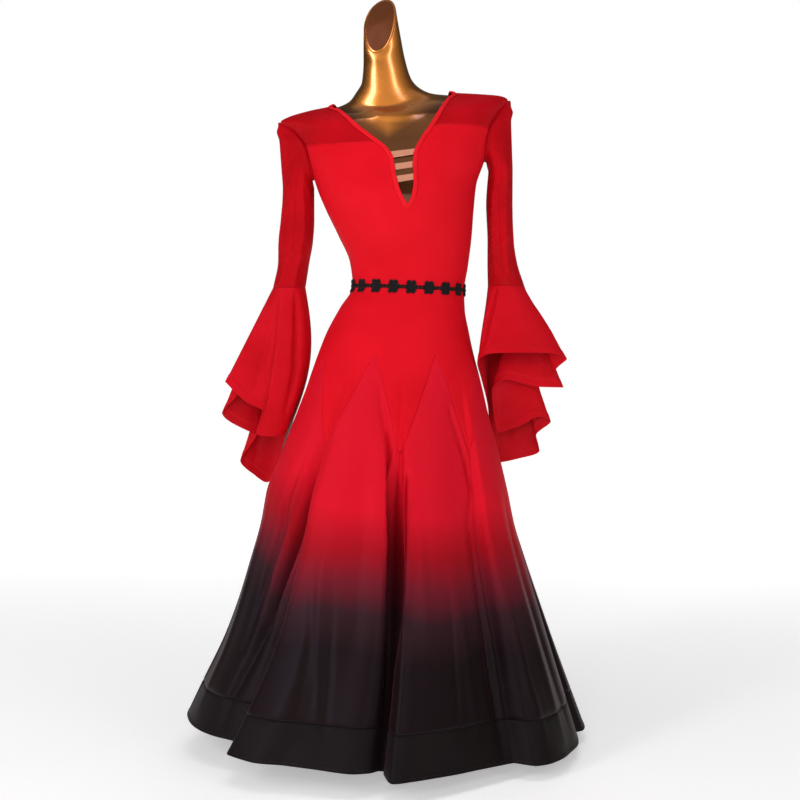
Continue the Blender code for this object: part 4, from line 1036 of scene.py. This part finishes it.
# the stitches draw the strip's upper face into small waves
height, length = bindingCut["ripple"]
lift = lift + height * np.sin(neckWalk / length * 2 * math.pi) * (lift > 1.2)
rings = neckPoints + neckOver * over[..., None] + neckNormals * (cloth["crepe"] + lift[..., None])
addPiece("neckBinding", [np.concatenate([rings, rings[:, :1]], axis=1)], [binding], "red_crepe", "neck_binding",
         (bindingCut["wall"], -1), bindingCut["flat"], "folded", None, ("bodiceFront", "yokeBack"))

# ---- elastic straps
# rows: level at the left and the right end, and how far both ends stop from the neckline; ribs: height and count
strapTable = {
    "rows": ((1129, 1135, 3.2), (1106, 1111, 3.2), (1083, 1088, 2.6)), "width": 12, "wall": 1.4, "ribs": (0.16, 6),
    "flat": ((0.047, 0.013), (0.034, 0.013), (0.032, 0.013))}
for number, (zLeft, zRight, inset) in enumerate(strapTable["rows"], 1):
    left, right = (np.array(neckTable[side], float) for side in sideNames)
    part = np.linspace(-0.5, 0.5, 25)
    lift = part * strapTable["width"]
    start = np.interp(zLeft + lift, left[:, 1], left[:, 0]) + inset
    end = np.interp(zRight + lift, right[:, 1], right[:, 0]) - inset
    across = np.linspace(0, 1, 44)
    x = start[:, None] + (end - start)[:, None] * across
    z = (zLeft + lift)[:, None] + (zRight - zLeft) * across
    angle, level = (found.reshape(x.shape) for found in onFront(np.stack([x.ravel(), z.ravel()], -1)))
    height, count = strapTable["ribs"]
    ribs = 0.2 + height * np.cos(part * 2 * math.pi * count)[:, None]
    addPiece(f"strap{number}", [raised(angle, level, ribs)], [elastic], "tan_elastic", f"strap_{number}",
             (strapTable["wall"], 1), strapTable["flat"][number - 1], "stretched", None, ("neckBinding",))
print("trims made")

# ---- lace belt
beltLook = {
    "pitch": 33.0, "reach": 8.5, "taller": 1.1, "lift": 3.1, "shift": -5.5, "faces": (14, 5), "flat": (0.67, 0.025)}
# a flower's parts in its own plane: along, up, then half width, half height, cord radius and lift
petalParts = ((3.5, 3.7, 1.35, 0.0), (1.35, 1.5, 1.5, 0.3))
flowerParts = (
    (0, 0, 4.4, 4.6, 1.3, 0.4), (0, 0, 1.6, 1.7, 1.7, 1.1), (16.5, 2.0, 3.4, 0.9, 0.95, -0.1),
    (16.5, -2.0, 3.4, 0.9, 0.95, -0.1), (16.5, 0, 1.1, 1.3, 0.8, 0.2))


def cordLoop(along, up, wide, tall, cord, lift):
    # an oval loop of flattened cord: (along, up, lift)
    around, tube = (np.linspace(0, 2 * math.pi, count + 1) for count in beltLook["faces"])
    tube = tube[:, None]
    return np.stack([along + (wide + cord * np.cos(tube)) * np.cos(around),
                     up + (tall + cord * np.cos(tube)) * np.sin(around),
                     lift + cord * 0.75 * np.sin(tube) + 0 * around], -1)


def flowerGrids():
    # six petals of two loops each, on an oval round the flower's middle
    reach = beltLook["reach"]
    petals = [cordLoop(reach * math.cos(turn), reach * beltLook["taller"] * math.sin(turn), *part)
              for turn in np.radians(np.arange(0, 360, 60)) for part in petalParts]
    return petals + [cordLoop(*part) for part in flowerParts]


fine = np.linspace(0, 360, 1441)
waistWalk = walkedAlong(clothFace(fine, np.full(len(fine), float(heights["waist"]))))
flowers = round(waistWalk[-1] / beltLook["pitch"])
startWalk = np.interp(turnedHips, fine, waistWalk) + beltLook["shift"]
beltGrids = []
for flat in flowerGrids():
    along = startWalk + flat[..., 0] + (np.arange(flowers) * (waistWalk[-1] / flowers))[:, None, None]
    angle = np.interp(along % waistWalk[-1], waistWalk, fine)
    level = heights["waist"] + flat[..., 1] + 0 * along
    beltGrids += list(raised(angle, level, beltLook["lift"] + flat[..., 2]))
addPiece("laceBelt", beltGrids, [lace], "black_lace", "belt", None, beltLook["flat"], "stretched", None,
         ("bodiceFront",))
print("belt made:", flowers, "flowers")

# ---- stitches
stitchLook = {"length": 2.9, "pitch": 4.4, "radius": 0.32}


def stitchGrids(points, normals):
    # short threads along a line: four rings of six points, pinched at both ends
    walked = walkedAlong(points)
    x = np.arange(stitchLook["pitch"] / 2, walked[-1], stitchLook["pitch"])
    spot, upward = readLinear(walked, points, x), readLinear(walked, normals, x)
    ahead = readLinear(walked, points, x + 1) - spot
    ahead /= np.maximum(np.linalg.norm(ahead, axis=1, keepdims=True), 1e-6)
    side = np.cross(ahead, upward)
    around = np.linspace(0, 2 * math.pi, 7)[:, None]
    ring = (side[:, None] * np.sin(around) + upward[:, None] * np.cos(around)) * stitchLook["radius"]
    rows = [spot[:, None] + ahead[:, None] * place * stitchLook["length"] + ring * size + upward[:, None] * sunk
            for place, size, sunk in ((-0.5, 0, -0.3), (-0.32, 1, 0), (0.32, 1, 0), (0.5, 0, -0.3))]
    return list(np.stack(rows, axis=1))


blackGrids, redGrids = [], []
for angle, level in bandGrids:
    # along the turned hem, and along the seam above the band
    for row, height, lift in ((angle[0], 45.0, 1.75), (angle[-1], 113.0, 1.45)):
        line = np.full(len(row), height)
        relief = lift + softCreases(clothFace(row, line), skirtCreases)
        blackGrids += stitchGrids(raised(row, line, relief), faceNormals(row, line))
for side in sideNames:
    grid, fromHem = flounceGrid(side)
    row = int(np.argmin(np.abs(fromHem[:, 0] - flounceCut["turned"])))
    normal = meshNormals(grid)[row]
    redGrids += stitchGrids(grid[row] + normal * 0.55, normal)
bindLine = neckPoints + neckOver * 4.0 + neckNormals * (cloth["crepe"] + 1.85)
redGrids += stitchGrids(*(np.concatenate([line, line[:1]]) for line in (bindLine, neckNormals)))
addPiece("blackStitches", blackGrids, [blackThread], "black_georgette")
addPiece("redStitches", redGrids, [redThread], "red_crepe")
print("stitches made")

# ---- form and stand
hipRings = np.array((
    (600, -128, 600, 130, 600, -92, 100, 600, 0.02), (612, -139, 612, 141, 612, -101, 110, 612, 0.02),
    (655, -150, 655, 153, 655, -107, 118, 655, 0.02), (705, -154, 705, 157, 705, -110, 122, 705, 0.02)))
neckRings = np.array((
    (1239, -74, 1262, 52, 1270, -51, 55, 1266, 0.0), (1262, -62, 1284, 34, 1288, -44, 48, 1294, 0.0),
    (1300, -59, 1322, 21, 1328, -39, 45, 1334, 0.0), (1322, -59, 1352, 13, 1368, -38, 43, 1388, 0.0),
    (1337, -60, 1387, 3, 1417, -37, 41, 1452, 0.0)))
formLook = {
    "columns": 128, "rows": 220, "rim": 5.0,
    "levels": (758, 790, 822, 850, 870, 884, 898, 922, 955, 992, 1033, 1058, 1083, 1108, 1134, 1152, 1170, 1184, 1194,
               1200, 1204, 1208, 1213, 1218, 1224, 1231)}

# the filling of the throat, its two cords and the two collar bones: width, depth, then x and z in front
throatLines = (
    (18, 8, (-50, 1211), (-20, 1201), (18, 1203), (50, 1215)), (5, 1.8, (-30, 1188), (-31, 1214)),
    (5, 1.8, (-8, 1188), (-5, 1214)), (8, 1.6, (-36, 1190), (-60, 1202), (-80, 1214)),
    (8, 1.6, (-2, 1190), (34, 1204), (60, 1216)))


def formGrids():
    # the cloth's own rings drawn in by the ease, over hips and under a neck with rings of their own
    angle = np.linspace(0, 360, formLook["columns"] + 1)
    hips, neck = np.concatenate([hipRings, bodyRings[10:]]), np.concatenate([bodyRings[-2:], neckRings])
    stack = [ringPoint(hips, angle, np.full(len(angle), row[0])) for row in hipRings]
    for level in formLook["levels"]:
        gap = cloth["ease"] + (cloth["shoulderEase"] - cloth["ease"]) * shareBetween(level, "underarm", "chestSeam")
        stack.append(raised(angle, np.full(len(angle), float(level)), -gap))
    stack = np.array(stack + [ringPoint(neck, angle, np.full(len(angle), row[0])) for row in neckRings])
    # the neck ends in a slanting cut with a rounded rim
    cut, rimSize = stack[-1], formLook["rim"]
    middle = cut[:-1].mean(axis=0)
    quarter = len(cut) // 4
    facing = unit(np.cross(cut[0] - cut[len(cut) // 2], cut[quarter] - cut[3 * len(cut) // 4]))
    facing = facing * np.sign(facing[2])
    stack[-1] = cut - facing * rimSize
    body = rowsThrough(stack, np.linspace(0, 1, formLook["rows"]))
    facingFront = np.clip(-body[..., 1] / 30, 0, 1)
    normals = meshNormals(body)
    for width, depth, *places in throatLines:
        x, z = alongPlaces(places, 30)
        relief = bellAlong(body * (1, 0, 1), np.stack([x, 0 * x, z], -1), width, depth) * facingFront
        body = body + normals * relief[..., None]
    spread = np.linalg.norm(cut - middle, axis=1)[:, None]
    rim = [middle + (cut - middle) * (1 - rimSize / spread * (1 - math.cos(turn)))
           - facing * rimSize * (1 - math.sin(turn)) for turn in np.radians((18, 36, 54, 72, 90))]
    inner = [middle + (rim[-1] - middle) * size for size in (0.9, 0.7, 0.45, 0.2, 0)]
    foot = stack[0].mean(axis=0)
    under = [foot + (body[0] - foot) * size for size in (0, 0.3, 0.7, 0.95)]
    return np.concatenate([under, body, rim]), np.array(rim[-1:] + inner)


addPiece("dressForm", formGrids(), [gold, capBrown], "gold_lacquer", "form_torso")


def turnedGrid(profile, segments=96, x=0.0, y=0.0):
    # a profile of (radius, height) carried round the pole
    around = np.linspace(0, 2 * math.pi, segments + 1)
    radius, height = np.array(profile, float).T
    return np.stack([x + radius[:, None] * np.cos(around), y + radius[:, None] * np.sin(around),
                     height[:, None] + 0 * around], -1)


# profiles of (radius, height) from the foot up
base = [(0, 0), (120, 0), (172, 0), (174, 0.6), (175, 2), (175, 4.4), (174.2, 6), (172.6, 7.2), (170, 7.9), (120, 8.4),
        (60, 8.8), (34, 9), (29, 9.6), (27.4, 11), (26.6, 14), (24.6, 30), (23.8, 36), (23, 38.5), (21, 40.6),
        (19, 41.8), (13.4, 42), (0, 42)]
screw = ((0, 8.6), (5.4, 8.6), (5.4, 10.4), (4.8, 11.2), (3.0, 11.7), (2.2, 11.7), (2.0, 10.2), (0, 10.0))
pole = [(0, 42.3), (12.2, 42.3), (12.5, 43), (12.5, 300), (13.6, 300.6), (14.2, 302), (14.2, 318), (13.6, 319.4),
        (12.5, 320), (12.5, 569), (12.8, 571), (24, 586.5), (24.5, 588), (24.5, 598.4), (24, 599.5), (0, 599.7)]
turns = 2 * math.pi * np.arange(3) / 3 + 0.5
screws = [turnedGrid(screw, 24, 45 * math.cos(turn), 45 * math.sin(turn)) for turn in turns]
addPiece("standBase", [turnedGrid(base)] + screws, [steel], "brushed_steel", "form_base")
addPiece("standPole", [turnedGrid(pole, 64)], [steel], "brushed_steel", "form_pole")
print("form and stand made")

# ---- studio
warm, white = (1.0, 0.84, 0.52), (1.0, 0.99, 1.25)
# screen: compass angle, brightness and tint of what the gloss mirrors; lamps: place, aim, size, power
studioLook = {
    "sky": (0.95, 0.97, 1.0), "wall": (0.95, 0.95, 0.95), "ambient": 0.15, "mirrored": 0.9,
    "floor": ((0.86, 0.86, 0.865), (0.88, 0.88, 0.885)), "screenPower": 6.0, "ceiling": (0.42, 0.36, 0.28),
    "floorGlow": (0.3, 4.5, 0.88, 0.42), "screenEdges": ((0.02, 0.26), (0.96, 0.74)), "ceilingEdge": (0.80, 0.98),
    "screen": (
        (-125, 0.014, warm), (-85, 0.06, warm), (-71, 0.11, warm), (-63, 0.95, white), (-51, 0.95, white),
        (-43, 0.15, warm), (0, 0.13, warm), (28, 0.14, warm), (33, 0.62, white), (41, 0.62, white), (47, 0.13, warm),
        (85, 0.055, warm), (125, 0.014, warm)),
    "lamps": {
        "keySoftbox": ((-2.4, -2.5, 1.95), (0, 0, 0.9), (0.5, 2.0), 37),
        "frontSoftbox": ((-0.35, -3.5, 1.5), (0, 0, 0.7), (1.2, 1.2), 34),
        "fillSoftbox": ((2.2, -2.5, 1.9), (0, 0, 1.0), (0.7, 2.2), 13),
        "topSoftbox": ((0.0, -0.4, 3.2), (0, 0, 0.7), (1.8, 1.4), 16),
        "backSoftbox": ((0.4, 2.8, 2.2), (0, 0, 0.9), (2.0, 1.6), 17)}}

for name, (place, aim, size, power) in studioLook["lamps"].items():
    light = bpy.data.lights.new(name, "AREA")
    light.shape, light.size, light.size_y, light.energy = "RECTANGLE", *size, power
    lamp = bpy.data.objects.new(name, light)
    lamp.visible_glossy = False
    bpy.context.scene.collection.objects.link(lamp)
    lamp.location = place
    back = np.subtract(place, aim)
    lamp.rotation_euler = (math.atan2(math.hypot(back[0], back[1]), back[2]), 0, math.atan2(back[0], -back[1]))

side = 9.0
floorMesh = bpy.data.meshes.new("floor")
floorMesh.from_pydata([(-side, -side, 0), (side, -side, 0), (side, side, 0), (-side, side, 0)], [], [(0, 1, 2, 3)])
floor = bpy.data.objects.new("floor", floorMesh)
bpy.context.scene.collection.objects.link(floor)
floorFinish, tree = newFinish("paleFloor", 0.7)
feed(tree, "Base Color", between(tree, noise(tree, 3.0), *studioLook["floor"]))
# the floor brightens with its distance from the stand, as a lit backdrop does
spread = addNode(tree, "VectorMath", {0: objectPlace(tree)}, operation="LENGTH").outputs["Value"]
feed(tree, "Emission Strength", slopeBetween(tree, spread, *studioLook["floorGlow"]))
floorMesh.materials.append(floorFinish)

world = bpy.data.worlds.new("studio")
world.use_nodes = True
bpy.context.scene.world = world
tree = world.node_tree
# what shines back is a wide screen with two tall lamps, placed by its compass angle times its height
east, north, up = partsOf(tree, addNode(tree, "TexCoord", {}).outputs["Generated"])
compass = maths(tree, "DIVIDE", maths(tree, "ARCTAN2", east, times(tree, north, -1.0)), 2 * math.pi)
screen = ramp(tree, plus(tree, compass, 0.5), [(0.5 + turn / 360, tuple(value * part for part in tint))
                                               for turn, value, tint in studioLook["screen"]])
foot, head = studioLook["screenEdges"]
rising = times(tree, slopeBetween(tree, up, *foot), slopeBetween(tree, up, *head, studioLook["screenPower"]))
# straight above it the screen gives way to an even ceiling
screen = mixColour(tree, slopeBetween(tree, up, *studioLook["ceilingEdge"]), screen, studioLook["ceiling"])
# light on the cloth, what gloss mirrors and what the camera sees are three backgrounds
lit, mirrored, shown = (addNode(tree, "Background", {"Color": colour, "Strength": strength}).outputs[0]
                        for colour, strength in ((studioLook["sky"], studioLook["ambient"]),
                                                 (screen, plus(tree, rising, studioLook["mirrored"])),
                                                 (studioLook["wall"], 1.05)))
path = addNode(tree, "LightPath", {}).outputs
made = addNode(tree, "MixShader", {0: path["Is Glossy Ray"], 1: lit, 2: mirrored}).outputs[0]
made = addNode(tree, "MixShader", {0: path["Is Camera Ray"], 1: made, 2: shown}).outputs[0]
tree.links.new(made, tree.nodes["World Output"].inputs[0])

camera = bpy.data.objects.new("camera", bpy.data.cameras.new("camera"))
bpy.context.scene.collection.objects.link(camera)
camera.data.lens, camera.data.sensor_width = 65.6, 36
camera.location, camera.rotation_euler = (0.0116, -2.8416, 0.7667), (math.radians(88), 0, 0)
bpy.context.scene.camera = camera
bpy.context.scene.view_settings.view_transform = "Standard"
print("studio made")
